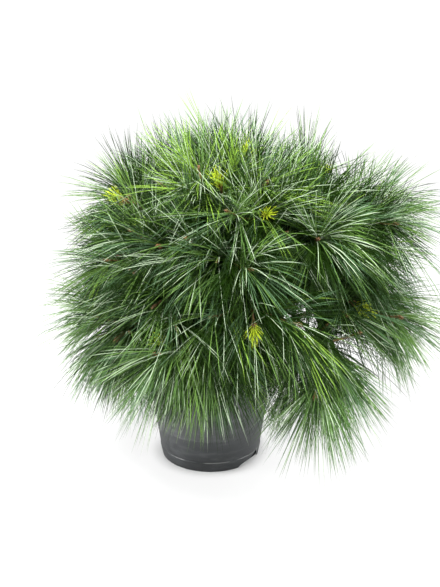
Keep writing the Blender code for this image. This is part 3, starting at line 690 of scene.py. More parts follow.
def mottling_group():
    """Two sizes of mottling and a fine height, shared by every mottled finish."""
    tree = bpy.data.node_groups.new("Mottling", "ShaderNodeTree")
    for name, default in (("Patch Scale", 60.0), ("Speck Scale", 900.0), ("Stretch", 1.0)):
        made = tree.interface.new_socket(name=name, in_out="INPUT", socket_type="NodeSocketFloat")
        made.default_value = default
    for name in ("Patches", "Specks", "Height"):
        tree.interface.new_socket(name=name, in_out="OUTPUT", socket_type="NodeSocketFloat")
    given = node(tree, "NodeGroupInput").outputs
    place = node(tree, "ShaderNodeTexCoord").outputs["Object"]
    parts = node(tree, "ShaderNodeSeparateXYZ", {0: place}).outputs
    stretched = maths(tree, "MULTIPLY", parts["Z"], given["Stretch"])
    joined = node(tree, "ShaderNodeCombineXYZ", {"X": parts["X"], "Y": parts["Y"], "Z": stretched})
    noises = []
    for scale, detail in MOTTLING_DETAILS:
        values = {"Detail": detail, "Roughness": MOTTLING_ROUGHNESS}
        links = {"Vector": joined.outputs[0], "Scale": given[scale]}
        noises.append(node(tree, "ShaderNodeTexNoise", {**values, **links}).outputs["Fac"])
    patches, specks = noises
    height = maths(tree, "MULTIPLY_ADD", specks, SPECK_RELIEF, patches)
    node(tree, "NodeGroupOutput", {"Patches": patches, "Specks": specks, "Height": height})
    return tree


def ramp(tree, factor, stops):
    """A colour ramp over factor, through stops of place and colour."""
    made = node(tree, "ShaderNodeValToRGB", {"Fac": factor})
    elements = made.color_ramp.elements
    while len(elements) < len(stops):
        elements.new(0.5)
    for element, (place, colour) in zip(elements, stops):
        element.position = place
        element.color = tuple(colour) + (1.0,)
    return made.outputs["Color"]


def shades(colour, stops):
    """Stops of place and colour, from stops of place and how many times as light as colour."""
    return tuple((place, tuple(min(times * value, 1.0) for value in colour)) for place, times in stops)


def mottled_material(name, stops, patch_scale, speck_scale, roughness, bump, stretch=1.0, specks=0.3):
    """A finish whose colour runs through stops with its mottling, with its grain as bump."""
    made = bpy.data.materials.new(name)
    made.use_nodes = True
    tree = made.node_tree
    group = bpy.data.node_groups.get("Mottling") or mottling_group()
    scales = {"Patch Scale": patch_scale, "Speck Scale": speck_scale, "Stretch": stretch}
    mottling = node(tree, "ShaderNodeGroup", scales, node_tree=group).outputs
    lowered = maths(tree, "SUBTRACT", mottling["Patches"], 0.5 * specks)
    factor = maths(tree, "MULTIPLY_ADD", mottling["Specks"], specks, lowered)
    relief = {"Strength": 1.0, "Distance": bump, "Height": mottling["Height"]}
    looks = {
        "Base Color": ramp(tree, factor, stops),
        "Roughness": mapped(tree, mottling["Patches"], *MOTTLING_SPAN, *roughness),
        "Normal": node(tree, "ShaderNodeBump", relief).outputs["Normal"],
    }
    for label, source in looks.items():
        tree.links.new(source, tree.nodes["Principled BSDF"].inputs[label])
    return made


def painted_highlight_ring(finish, height, width, colour):
    """Adds a painted highlight: a paler, broken ring at this height, along the foot band's ledge."""
    tree = finish.node_tree
    surface = tree.nodes["Principled BSDF"].inputs["Base Color"]
    plain = surface.links[0].from_socket
    place = node(tree, "ShaderNodeTexCoord").outputs["Object"]
    parts = node(tree, "ShaderNodeSeparateXYZ", {0: place})
    away = maths(tree, "ABSOLUTE", maths(tree, "SUBTRACT", parts.outputs["Z"], height))
    band = mapped(tree, away, 0.5 * width, 0.25 * width)
    highlight_breakup = node(tree, "ShaderNodeTexNoise", {"Vector": place, "Scale": HIGHLIGHT_BREAKUP_SCALE, "Detail": HIGHLIGHT_BREAKUP_DETAIL})
    ring_highlight = maths(tree, "MULTIPLY", band, mapped(tree, highlight_breakup.outputs["Fac"], *HIGHLIGHT_BREAKUP_SPAN))
    colours = {"Fac": ring_highlight, "Color1": plain, "Color2": tuple(colour) + (1.0,)}
    tree.links.new(node(tree, "ShaderNodeMixRGB", colours).outputs[0], surface)


def plain_material(name, colour, roughness):
    """A plain finish with a faint gloss: its values stay on the shader's own sockets."""
    made = bpy.data.materials.new(name)
    made.use_nodes = True
    shader = made.node_tree.nodes["Principled BSDF"]
    shader.inputs["Base Color"].default_value = tuple(colour) + (1.0,)
    shader.inputs["Roughness"].default_value = roughness
    shader.inputs["Specular IOR Level"].default_value = PLAIN_GLOSS
    made.diffuse_color = tuple(colour) + (1.0,)
    return made


# Geometry Nodes


def new_tree(name, sockets):
    """A Geometry Nodes tree with these named inputs, and the sockets that bring them in."""
    tree = bpy.data.node_groups.new(name, "GeometryNodeTree")
    tree.interface.new_socket(name="Geometry", in_out="INPUT", socket_type="NodeSocketGeometry")
    for label, kind in sockets:
        tree.interface.new_socket(name=label, in_out="INPUT", socket_type="NodeSocket" + kind)
    tree.interface.new_socket(name="Geometry", in_out="OUTPUT", socket_type="NodeSocketGeometry")
    return tree, node(tree, "NodeGroupInput").outputs


def attribute(tree, name, kind="FLOAT"):
    named = node(tree, "GeometryNodeInputNamedAttribute", {"Name": name}, data_type=kind)
    return named.outputs["Attribute"]


def painted(tree, shape, material, chosen=None):
    """Gives the material to the shape, or to the chosen part of it."""
    given = {"Geometry": shape, "Material": material}
    if chosen is not None:
        given["Selection"] = chosen
    return node(tree, "GeometryNodeSetMaterial", given).outputs["Geometry"]


def swept(tree, given):
    """Nodes that sweep a profile along the mesh's paths, as wide as their girth says."""
    curve = node(tree, "GeometryNodeMeshToCurve", {"Mesh": given["Geometry"]})
    circle = {"Radius": 1.0, "Resolution": given["Sides"]}
    profile = node(tree, "GeometryNodeCurvePrimitiveCircle", circle)
    curves = {"Curve": curve.outputs["Curve"], "Profile Curve": profile.outputs["Curve"]}
    girths = {"Scale": attribute(tree, "girth"), "Fill Caps": True}
    sweep = node(tree, "GeometryNodeCurveToMesh", {**curves, **girths})
    closing = {"Geometry": sweep.outputs["Mesh"], "Distance": CLOSING_DISTANCE}
    return node(tree, "GeometryNodeMergeByDistance", closing).outputs["Geometry"]


def finish_tree(tree, shape):
    """Realizes the instances, and drops the attributes that only the tree needed."""
    shape = node(tree, "GeometryNodeRealizeInstances", {"Geometry": shape}).outputs["Geometry"]
    for name in ("girth", "tone"):
        dropped = node(tree, "GeometryNodeRemoveAttribute", {"Geometry": shape, "Name": name})
        shape = dropped.outputs["Geometry"]
    node(tree, "NodeGroupOutput", {"Geometry": shape})


def tinted_paths_tree(tones):
    """Sweeps needles or bud scales, and gives each path the material that its tone counts."""
    sockets = [("Sides", "Int")] + [(f"Material {k + 1}", "Material") for k in range(tones)]
    tree, given = new_tree("Tinted paths", sockets)
    shape = painted(tree, swept(tree, given), given["Material 1"])
    for k in range(1, tones):
        compared = {2: attribute(tree, "tone", "INT"), 3: k}
        same = node(tree, "FunctionNodeCompare", compared, data_type="INT", operation="EQUAL")
        shape = painted(tree, shape, given[f"Material {k + 1}"], same.outputs["Result"])
    finish_tree(tree, shape)
    return tree


def bark_tree():
    """Sweeps limbs and raises plates, furrows and knobs of bark on them."""
    sockets = [("Sides", "Int"), ("Relief", "Float"), ("Plate Size", "Float"), ("Material 1", "Material")]
    tree, given = new_tree("Bark", sockets)
    place = node(tree, "GeometryNodeInputPosition").outputs[0]
    squeezed = node(tree, "ShaderNodeVectorMath", {0: place, 1: BARK_SQUEEZE}, operation="MULTIPLY")
    scale = maths(tree, "DIVIDE", 1.0, given["Plate Size"])
    bark = {"Vector": squeezed.outputs[0], "Scale": scale, "Detail": 3.0, "Roughness": 0.65}
    centred = maths(tree, "SUBTRACT", node(tree, "ShaderNodeTexNoise", bark).outputs["Fac"], 0.5)
    high = maths(tree, "MULTIPLY", centred, given["Relief"])
    normal = node(tree, "GeometryNodeInputNormal").outputs[0]
    offset = node(tree, "ShaderNodeVectorMath", {0: normal, "Scale": high}, operation="SCALE")
    raised = {"Geometry": swept(tree, given), "Offset": offset.outputs[0]}
    moved = node(tree, "GeometryNodeSetPosition", raised)
    finish_tree(tree, painted(tree, moved.outputs["Geometry"], given["Material 1"]))
    return tree


def crumbs_tree():
    """Scatters small lumps of many sizes over the soil."""
    sockets = [("Density", "Float"), ("Smallest", "Float"), ("Largest", "Float")]
    sockets += [("Seed", "Int"), ("Material 1", "Material")]
    tree, given = new_tree("Crumbs", sockets)
    bed = {"Mesh": given["Geometry"], "Density": given["Density"], "Seed": given["Seed"]}
    spread = node(tree, "GeometryNodeDistributePointsOnFaces", bed)
    lump = node(tree, "GeometryNodeMeshIcoSphere", {"Radius": 1.0, "Subdivisions": 1})
    radii = {2: given["Smallest"], 3: given["Largest"], "Seed": given["Seed"]}
    sizes = node(tree, "FunctionNodeRandomValue", radii, data_type="FLOAT")
    shapes, turns = [
        node(tree, "FunctionNodeRandomValue", {0: least, 1: most}, data_type="FLOAT_VECTOR").outputs[0]
        for least, most in (CRUMB_SHAPES, CRUMB_TURNS)
    ]
    scaled = {0: shapes, "Scale": sizes.outputs[1]}
    sized = node(tree, "ShaderNodeVectorMath", scaled, operation="SCALE")
    lumps = {"Points": spread.outputs["Points"], "Instance": lump.outputs["Mesh"]}
    stance = {"Rotation": turns, "Scale": sized.outputs[0]}
    placed = node(tree, "GeometryNodeInstanceOnPoints", {**lumps, **stance})
    realized = node(tree, "GeometryNodeRealizeInstances", {"Geometry": placed.outputs["Instances"]})
    finish_tree(tree, painted(tree, realized.outputs["Geometry"], given["Material 1"]))
    return tree


def grown(source, tree, **inputs):
    """Runs the tree on the source and returns its result as a plain mesh object."""
    modifier = source.modifiers.new("grow", "NODES")
    modifier.node_group = tree
    for item in tree.interface.items_tree:
        label = item.name.replace(" ", "_").lower()
        if item.in_out == "INPUT" and label in inputs:
            modifier[item.identifier] = inputs[label]
    bpy.context.view_layer.update()
    depsgraph = bpy.context.evaluated_depsgraph_get()
    mesh = bpy.data.meshes.new_from_object(source.evaluated_get(depsgraph), depsgraph=depsgraph)
    source.modifiers.clear()
    name = source.name
    source.name = name + "_paths"
    mesh.name = name
    made = bpy.data.objects.new(name, mesh)
    bpy.context.scene.collection.objects.link(made)
    bpy.data.objects.remove(source)
    if not len(mesh.polygons):
        raise RuntimeError(f"{name} came out empty")
    return made


def paths_object(name, points, girths, tones=None):
    """A mesh of loose paths, one for each row of points, for a tree to sweep."""
    count, steps = points.shape[:2]
    mesh = bpy.data.meshes.new(name)
    mesh.vertices.add(count * steps)
    mesh.vertices.foreach_set("co", points.astype(np.float32).reshape(-1))
    start = np.arange(count * steps, dtype=np.int32).reshape(count, steps)
    edges = np.stack([start[:, :-1], start[:, 1:]], axis=-1).reshape(-1)
    mesh.edges.add(len(edges) // 2)
    mesh.edges.foreach_set("vertices", edges)
    girth = mesh.attributes.new("girth", "FLOAT", "POINT")
    girth.data.foreach_set("value", girths.astype(np.float32).reshape(-1))
    if tones is not None:
        tone = mesh.attributes.new("tone", "INT", "POINT")
        tone.data.foreach_set("value", np.repeat(tones, steps).astype(np.int32))
    made = bpy.data.objects.new(name, mesh)
    bpy.context.scene.collection.objects.link(made)
    return made


def settle(piece, nodes=()):
    """Hands a finished piece to the frame: it rides on the root, and stands for its nodes."""
    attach(piece, "root")
    if nodes:
        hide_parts(*nodes)
    return piece


# Pot and soil


def mesh_object(name, bm, finish):
    mesh = bpy.data.meshes.new(name)
    bm.to_mesh(mesh)
    bm.free()
    if finish:
        mesh.materials.append(finish)
    made = bpy.data.objects.new(name, mesh)
    bpy.context.scene.collection.objects.link(made)
    return made


def rounded(outline, roundings, steps=4):
    """The outline with its corners rounded off, each by its own radius."""
    result = []
    last = len(outline) - 1
    for i, (corner, radius) in enumerate(zip(outline, roundings)):
        here = Vector(corner)
        if i in (0, last) or radius == 0.0:
            result.append(here)
            continue
        before, after = Vector(outline[i - 1]) - here, Vector(outline[i + 1]) - here
        half = before.angle(after) / 2.0
        reach = min(radius / math.tan(half), LONGEST_ROUNDING * min(before.length, after.length))
        a, b = here + before.normalized() * reach, here + after.normalized() * reach
        for k in range(steps + 1):
            t = k / steps
            result.append(a * (1 - t) ** 2 + here * 2 * t * (1 - t) + b * t**2)
    return result


def turned_mesh(outline, steps):
    """A closed turned body from an outline whose two ends lie on the axis."""
    bm = bmesh.new()
    rings = []
    for radius, height in outline:
        if radius < 1e-6:
            rings.append([bm.verts.new((0.0, 0.0, height))])
            continue
        turns = [2.0 * math.pi * k / steps for k in range(steps)]
        rings.append([bm.verts.new((radius * math.cos(a), radius * math.sin(a), height)) for a in turns])
    for low, high in zip(rings, rings[1:]):
        for k in range(steps):
            following = (k + 1) % steps
            corners = [low[k % len(low)], low[following % len(low)]]
            corners += [high[following % len(high)], high[k % len(high)]]
            kept = list(dict.fromkeys(corners))
            if len(kept) > 2:
                bm.faces.new(kept)
    bmesh.ops.recalc_face_normals(bm, faces=bm.faces)
    return bm


def oval(level, above, sides):
    """The corners round an oval that is as wide as level and as high as above."""
    turns = [2.0 * math.pi * k / sides for k in range(sides)]
    return [level * math.cos(a) + above * math.sin(a) for a in turns]


def prism(ends, corners):
    """A closed body between two middles, with the same corners round each of them."""
    bm = bmesh.new()
    rings = [[bm.verts.new(end + corner) for corner in corners] for end in ends]
    bm.faces.new(rings[0])
    bm.faces.new(rings[1][::-1])
    for k in range(len(corners)):
        following = (k + 1) % len(corners)
        bm.faces.new((rings[0][following], rings[0][k], rings[1][k], rings[1][following]))
    bmesh.ops.recalc_face_normals(bm, faces=bm.faces)
    return bm


def wedge_cutter():
    """The small wedge above the front notch, from inside the pot out past its wall; the faces it cuts are
    lined with near-black painted shade.
    """
    out = heading(WEDGE_AZIMUTH, 0.0)
    level, above = two_sides(out)
    corners = [level * across + above * height for across, height in WEDGE_CORNERS]
    return prism((out * WEDGE_BACK, out * (POT_FOOT_RADIUS + NOTCH_REACH)), corners)


def pot_outline():
    """The pot in half section, from the middle of its inner floor round to its underside.

    Each corner in it is a radius, a height and the radius of its rounding.
    """
    inside = wall_radius(POT_SHOULDER_HEIGHT) - POT_WALL
    collar = wall_radius(POT_SHOULDER_HEIGHT) + POT_COLLAR_STEP
    roof = CHANNEL_HEIGHT + BASE_THICKNESS
    disc = BASE_DISC_RADIUS - 0.5 * BASE_THICKNESS
    foot_inside = POT_FOOT_RADIUS - FOOT_RING_WIDTH
    band = wall_radius(FOOT_BAND_HEIGHT)
    profile = [
        (0.0, BASE_THICKNESS, 0.0),
        (disc, BASE_THICKNESS, 0.001),
        (disc + CHANNEL_SLOPE, roof, 0.001),
        (wall_radius(roof) - POT_WALL, roof, 0.001),
        (inside, POT_SHOULDER_HEIGHT, 0.002),
        (collar - POT_WALL, POT_SHOULDER_HEIGHT + POT_WALL, 0.002),
        (collar - POT_WALL, POT_HEIGHT, 0.0012),
        (POT_LIP_RADIUS, POT_HEIGHT, 0.0016),
        (POT_LIP_RADIUS, POT_HEIGHT - POT_LIP_DROP, 0.0008),
        (collar, POT_HEIGHT - POT_LIP_DROP, 0.0008),
        (collar, POT_SHOULDER_HEIGHT, 0.0010),
        (inside + POT_WALL, POT_SHOULDER_HEIGHT - POT_WALL, 0.0010),
    ]
    edge = WALL_RIDGE_REACH, 0.0, 0.0
    crest = 0.0, WALL_RIDGE_STEP, WALL_RIDGE_ROUNDING
    for height in WALL_RIDGES:
        for rise, step, rounding in (edge, crest, (-WALL_RIDGE_REACH, 0.0, 0.0)):
            profile.append((wall_radius(height + rise) + step, height + rise, rounding))
    profile += [
        (band, FOOT_BAND_HEIGHT, 0.0004),
        (band + FOOT_BAND_STEP, FOOT_BAND_HEIGHT - FOOT_BAND_STEP, 0.0005),
        (POT_FOOT_RADIUS, 0.0, 0.0009),
        (foot_inside, 0.0, 0.0009),
        (foot_inside - FOOT_RING_SLOPE, CHANNEL_HEIGHT, 0.0008),
        (BASE_DISC_RADIUS + CHANNEL_SLOPE, CHANNEL_HEIGHT, 0.0008),
        (BASE_DISC_RADIUS, 0.0, 0.0008),
        (0.0, 0.0, 0.0),
    ]
    return rounded([(r, h) for r, h, rounding in profile], [rounding for r, h, rounding in profile])


def pot_cutters():
    """The foot's two notches and the drain holes, each a closed body."""
    cutters = []
    for azimuth in NOTCH_AZIMUTHS:
        out = heading(azimuth, 0.0)
        level, above = two_sides(out)
        ends = [out * (POT_FOOT_RADIUS - NOTCH_REACH), out * (POT_FOOT_RADIUS + NOTCH_REACH)]
        arch = oval(level * NOTCH_HALF_WIDTH, above * NOTCH_HEIGHT, NOTCH_SIDES)
        cutters.append(prism(ends, arch))
    inner, outer = BASE_DISC_RADIUS + CHANNEL_SLOPE, POT_FOOT_RADIUS - FOOT_RING_WIDTH - FOOT_RING_SLOPE
    heights = (CHANNEL_HEIGHT - CUTTER_OVERRUN, CHANNEL_HEIGHT + BASE_THICKNESS + CUTTER_OVERRUN)
    for k in range(DRAIN_HOLES):
        middle = heading(NOTCH_AZIMUTHS[0] + 360.0 * (k + 0.5) / DRAIN_HOLES, 0.0) * 0.5 * (inner + outer)
        ends = [middle + UP * height for height in heights]
        across = Vector((DRAIN_HOLE_RADIUS, 0.0, 0.0)), Vector((0.0, DRAIN_HOLE_RADIUS, 0.0))
        cutters.append(prism(ends, oval(*across, DRAIN_HOLE_SIDES)))
    return cutters


def cut_away(target, cutters, shade_lining=None):
    """Applies one Boolean difference for each cutter, and removes the cutters. Where a lining is given,
    the cut faces take it as near-black painted shade.
    """
    for bm in cutters:
        cutter = mesh_object("cutter", bm, shade_lining)
        boolean = target.modifiers.new("cut", "BOOLEAN")
        boolean.operation = "DIFFERENCE"
        boolean.solver = "EXACT"
        boolean.object = cutter
        boolean.material_mode = "TRANSFER" if shade_lining else "INDEX"
        depsgraph = bpy.context.evaluated_depsgraph_get()
        mesh = bpy.data.meshes.new_from_object(target.evaluated_get(depsgraph), depsgraph=depsgraph)
        target.modifiers.clear()
        old, target.data = target.data, mesh
        bpy.data.meshes.remove(old)
        bpy.data.objects.remove(cutter)
    return target


def smooth_by_angle(made, degrees):
    made.data.shade_smooth()
    made.data.set_sharp_from_angle(angle=math.radians(degrees))
    return made


def lumpy(x, y, seed, scale):
    """A smooth height between -1 and 1 that wanders over the plane."""
    a = math.sin(scale * x + 1.7 * seed) * math.cos(scale * 0.83 * y - seed)
    b = math.sin(scale * 1.9 * (x * 0.6 + y * 0.8) + 2.3 * seed)
    return 0.6 * a + 0.4 * b * math.cos(scale * 2.3 * (x * 0.8 - y * 0.6))


def soil_body(settings):
    """The soil as a closed turned body whose top is crowned and lumpy."""
    edge = wall_radius(POT_SHOULDER_HEIGHT) - POT_WALL - SOIL_GAP
    top = []
    for share in [i / SOIL_RINGS for i in range(SOIL_RINGS + 1)]:
        fall = max(share - SOIL_LEVEL_SHARE, 0.0) / (1.0 - SOIL_LEVEL_SHARE)
        top.append((edge * share, SOIL_TOP - SOIL_CROWNING * fall))
    roof = CHANNEL_HEIGHT + BASE_THICKNESS + SOIL_GAP
    disc = BASE_DISC_RADIUS - 0.5 * BASE_THICKNESS
    below = [(wall_radius(roof) - POT_WALL - SOIL_GAP, roof), (disc + CHANNEL_SLOPE, roof)]
    below += [(disc, BASE_THICKNESS + SOIL_GAP), (0.0, BASE_THICKNESS + SOIL_GAP)]
    bm = turned_mesh(top + below, TURNING_STEPS)
    for vert in bm.verts:
        x, y, z = vert.co
        if z > SOIL_TOP - SOIL_CROWNING - 1e-5 and math.hypot(x, y) < edge - SOIL_RIM:
            lumps = sum(share * lumpy(x, y, seed, scale) for seed, scale, share in SOIL_LUMPS)
            vert.co.z += settings.lump_height * lumps
    return bm


# Wood, twigs and buds


def even_paths(paths, steps):
    return np.array([as_array(samples_along(points, steps)) for points in paths])


def trunk_paths(steps):
    """The trunk from just below the soil's top to its tip."""
    heights = np.linspace(SOIL_TOP - TRUNK_SUNK, TRUNK_TOP, steps)
    points = as_array([trunk_axis(height) for height in heights])[None]
    girths = np.array([trunk_radius(height) for height in heights])[None]
    return points, girths


def bough_paths(limbs, steps, collar):
    """Each bough from inside the trunk to its mass, with a swollen collar at its root."""
    shares = np.linspace(0.0, 1.0, steps)
    points, girths = [], []
    for limb in limbs:
        points.append(as_array([bezier(limb.curve, BOUGH_SHARE * share) for share in shares]))
        swelling = [1.0 + collar * math.exp(-share * COLLAR_FADE) for share in shares]
        girths.append([bough_radius(limb, share) * swell for share, swell in zip(shares, swelling)])
    return np.array(points), np.array(girths)


def curved_shoot(shoot, lift):
    """A straight shoot with a slight upward bend along it."""
    if shoot.kind == "stem":
        return shoot.points
    root, tip = shoot.points
    bend = UP * lift * (tip - root).length
    return [root.lerp(tip, t) - bend * (t * (1.0 - t)) for t in np.linspace(0.0, 1.0, BEND_POINTS)]


def twig_paths(crown, steps, lift):
    """Every shoot, thinner towards its bud, with faint swellings where needles sat."""
    points = even_paths([curved_shoot(shoot, lift) for shoot in crown.shoots], steps)
    along = np.linspace(0.0, 1.0, steps)
    swelling = 1.0 + TWIG_SWELLING * np.cos(np.arange(steps) * math.pi)
    girths = []
    for shoot in crown.shoots:
        root, tip = TWIG_GIRTHS[shoot.kind]
        girths.append(SHOOT_RADIUS * (root + (tip - root) * along) * swelling)
    return points, np.array(girths)


def bud_scale(base, direction, length, start, out):
    """The path of one scale, which lies on a bud's side and follows its taper."""
    points = []
    for t in BUD_PLACES:
        place = start + SCALE_LENGTH * t
        bulge = length * BUD_GIRTH * (SCALE_BULGE - SCALE_TAPER * max(place - SCALE_TAPER_START, 0.0))
        points.append(base + direction * (length * place) + out * bulge)
    return as_array(points)


def bud_paths(crown, settings):
    """Buds as paths: a pointed body and overlapping scales, plus small buds beside it."""
    chance = random.Random("buds")
    points, girths, tones = [], [], []
    for shoot in crown.shoots:
        tip, forward = path_at(shoot.points, 1.0)
        size = settings.length * BUD_SIZES[shoot.kind] * chance.uniform(*BUD_SIZE_RANGE)
        group = [(forward, size)]
        first = chance.uniform(0.0, 6.0)
        for k in range(SIDE_BUDS[shoot.kind]):
            group.append((fanned(forward, first + k * math.pi, SIDE_BUD_LEAN), size * SIDE_BUD_SIZE))
        base = tip - forward * BUD_SUNK
        for direction, length in group:
            points.append(as_array([base + direction * (length * t) for t in BUD_PLACES]))
            girths.append(length * BUD_GIRTH * BUD_PROFILE)
            tones.append(0)
            for i in range(settings.scales):
                out = fanned(direction, first + GOLDEN_ANGLE * i, math.pi / 2)
                start = LAST_SCALE * i / settings.scales
                points.append(bud_scale(base, direction, length, start, out))
                girths.append(length * SCALE_GIRTH * SCALE_PROFILE)
                tones.append(1 + (i % 2))
    return np.array(points), np.array(girths), np.array(tones)


# Needles


def two_sides_of(directions):
    """For rows of unit vectors: a level unit vector square to each, and the one above it."""
    level = np.stack([-directions[:, 1], directions[:, 0], np.zeros(len(directions))], axis=1)
    level[np.linalg.norm(level, axis=1) < 1e-3] = (0.0, 1.0, 0.0)
    level /= np.linalg.norm(level, axis=1)[:, None]
    return level, np.cross(directions, level)


def leaning(forward, around, lean):
    """Rows of directions that lean away from forward by lean, turned round it by around."""
    level, above = two_sides_of(forward)
    outward = level * np.cos(around)[:, None] + above * np.sin(around)[:, None]
    return forward * np.cos(lean)[:, None] + outward * np.sin(lean)[:, None], outward


def bundle_tones(chance, middles, limb, settings):
    """Deals a pair of tones to each bundle: the greener outer side and the paler inner side."""
    count = len(middles)
    spread = (middles - np.array(CROWN_MIDDLE)) / np.array(CROWN_SPREAD)
    # How far out each bundle stands. The deep tone paints shade: bundles inside the crown take it more
    # often, and lighter tones go to bundles further out.
    unshaded = np.clip((np.linalg.norm(spread, axis=1) - SHADED_WITHIN) / SHADE_FADE, 0.0, 1.0)
    height = np.clip((middles[:, 2] - FRESH_FROM) / FRESH_RISE, 0.0, 1.0)
    draw = chance.random(count)
    lime = LIME_LIMBS.get(limb, STRAY_LIME) * unshaded
    newer = settings.fresh + FRESH_LIMBS.get(limb, 0.0)
    fresh = lime + newer * unshaded * (FRESH_BELOW + FRESH_GAIN * height)
    blue = fresh + settings.blue
    # Each limb's own deep share adds painted shade on limbs that sit in shade, and takes it away on those
    # that catch more light
    deep = blue + settings.deep + DEEP_SHADE_LIMBS.get(limb, 0.0) + (1.0 - unshaded)
    outer = np.full(count, TONES.index("green"))
    for tone, limit in (("deep", deep), ("blue", blue), ("fresh", fresh), ("lime", lime)):
        outer[draw < limit] = TONES.index(tone)
    inner = outer.copy()
    # The pale tone is partly the needles' waxy bloom and partly a painted highlight: it goes to bundles
    # far out, and less to limbs given more painted shade.
    pale = settings.pale * unshaded**PALE_HIGHLIGHT_BIAS * min(1.0 - DEEP_SHADE_LIMBS.get(limb, 0.0), 1.0)
    inner[chance.random(count) < pale] = TONES.index("pale")
    return outer, inner


def from_gap(points, gap):
    """How near each needle comes to the line along the middle of a gap."""
    near, along = np.array(gap.near), np.array(gap.far - gap.near)
    axis = along / np.linalg.norm(along)
    places = points - near
    across = places - (places @ axis)[..., None] * axis
    first, step = across[:, :-1], across[:, 1:] - across[:, :-1]
    nearest = np.clip(-(first * step).sum(axis=2) / (step**2).sum(axis=2), 0.0, 1.0)[..., None]
    closest = places[:, :-1] * (1.0 - nearest) + places[:, 1:] * nearest
    share = np.clip(closest @ along / (along @ along), 0.0, 1.0)
    return np.linalg.norm(closest - share[..., None] * along, axis=2).min(axis=1)


class NeedleRoom:
    """Tells which needles stay inside the plant's reach, and clear of pot, wood and gaps."""

    def __init__(self, crown):
        self.crown = crown
        self.chance = np.random.default_rng(3)
        self.gaps = list(SKY_GAPS + GLINTS)
        dead_view = DEAD_SPOT + (VIEWER - DEAD_SPOT) * DEAD_VIEW_SHARE
        self.gaps.append(SkyGap(DEAD_SPOT, dead_view, DEAD_VIEW_RADIUS))
        for shoot in crown.shoots:
            if shoot.kind != "twig":
                tip, forward = path_at(shoot.points, 1.0)
                self.gaps.append(SkyGap(tip, tip + forward * BUD_VIEW_LENGTH, BUD_VIEW_RADIUS))
            if shoot.kind == "stem" and shoot.limb in SEEN_BUDS:
                toward = (VIEWER - tip).normalized()
                self.gaps.append(SkyGap(tip, tip + toward * SEEN_LENGTH, SEEN_BUDS[shoot.limb]))
        self.low = np.array(CAD_BOX[0]) - BOX_MARGIN
        self.high = np.array(CAD_BOX[1]) + BOX_MARGIN
        self.low[2] = GROUND_CLEARANCE

    def reach(self, points):
        """The share of each needle's length that stays in the box."""
        root, tip = points[:, 0], points[:, -1]
        span = tip - root
        with np.errstate(divide="ignore", invalid="ignore"):
            to_high = np.where(span > 0.0, (self.high - root) / span, np.inf)
            to_low = np.where(span < 0.0, (self.low - root) / span, np.inf)
        return np.clip(np.minimum(to_high, to_low).min(axis=1), 0.0, 1.0)

    def admits(self, points):
        """True for each needle clear of the pot, the soil and the wood, and of most gaps."""
        between = 0.5 * (points[:, :-1] + points[:, 1:])
        tested = np.concatenate([points[:, 1:], between[:, 1:]], axis=1)
        radial = np.hypot(tested[..., 0], tested[..., 1])
        z = tested[..., 2]
        widest = np.where(z > POT_SHOULDER_HEIGHT, POT_LIP_RADIUS, wall_radius(z)) + POT_CLEARANCE
        inside_rim = (radial < POT_SHOULDER_RADIUS - POT_CLEARANCE) & (z > SOIL_TOP + SOIL_CLEARANCE)
        in_pot = (z < POT_HEIGHT + POT_CLEARANCE) & (radial < widest) & ~inside_rim
        flat = tested.reshape(-1, 3)
        clear = np.ones(len(flat), bool)
        wood, radii = self.crown.wood, self.crown.wood_radii
        for first in range(0, len(flat), TEST_BATCH):
            batch = slice(first, first + TEST_BATCH)
            clear[batch] = (distances(flat[batch], wood) - radii).min(axis=1) > WOOD_CLEARANCE
        seen_past = self.chance.random(len(points)) < STRAND_SHARE
        seen_past |= np.all([from_gap(points, gap) > gap.radius for gap in self.gaps], axis=0)
        return ~in_pot.any(axis=1) & clear.reshape(tested.shape[:2]).all(axis=1) & seen_past


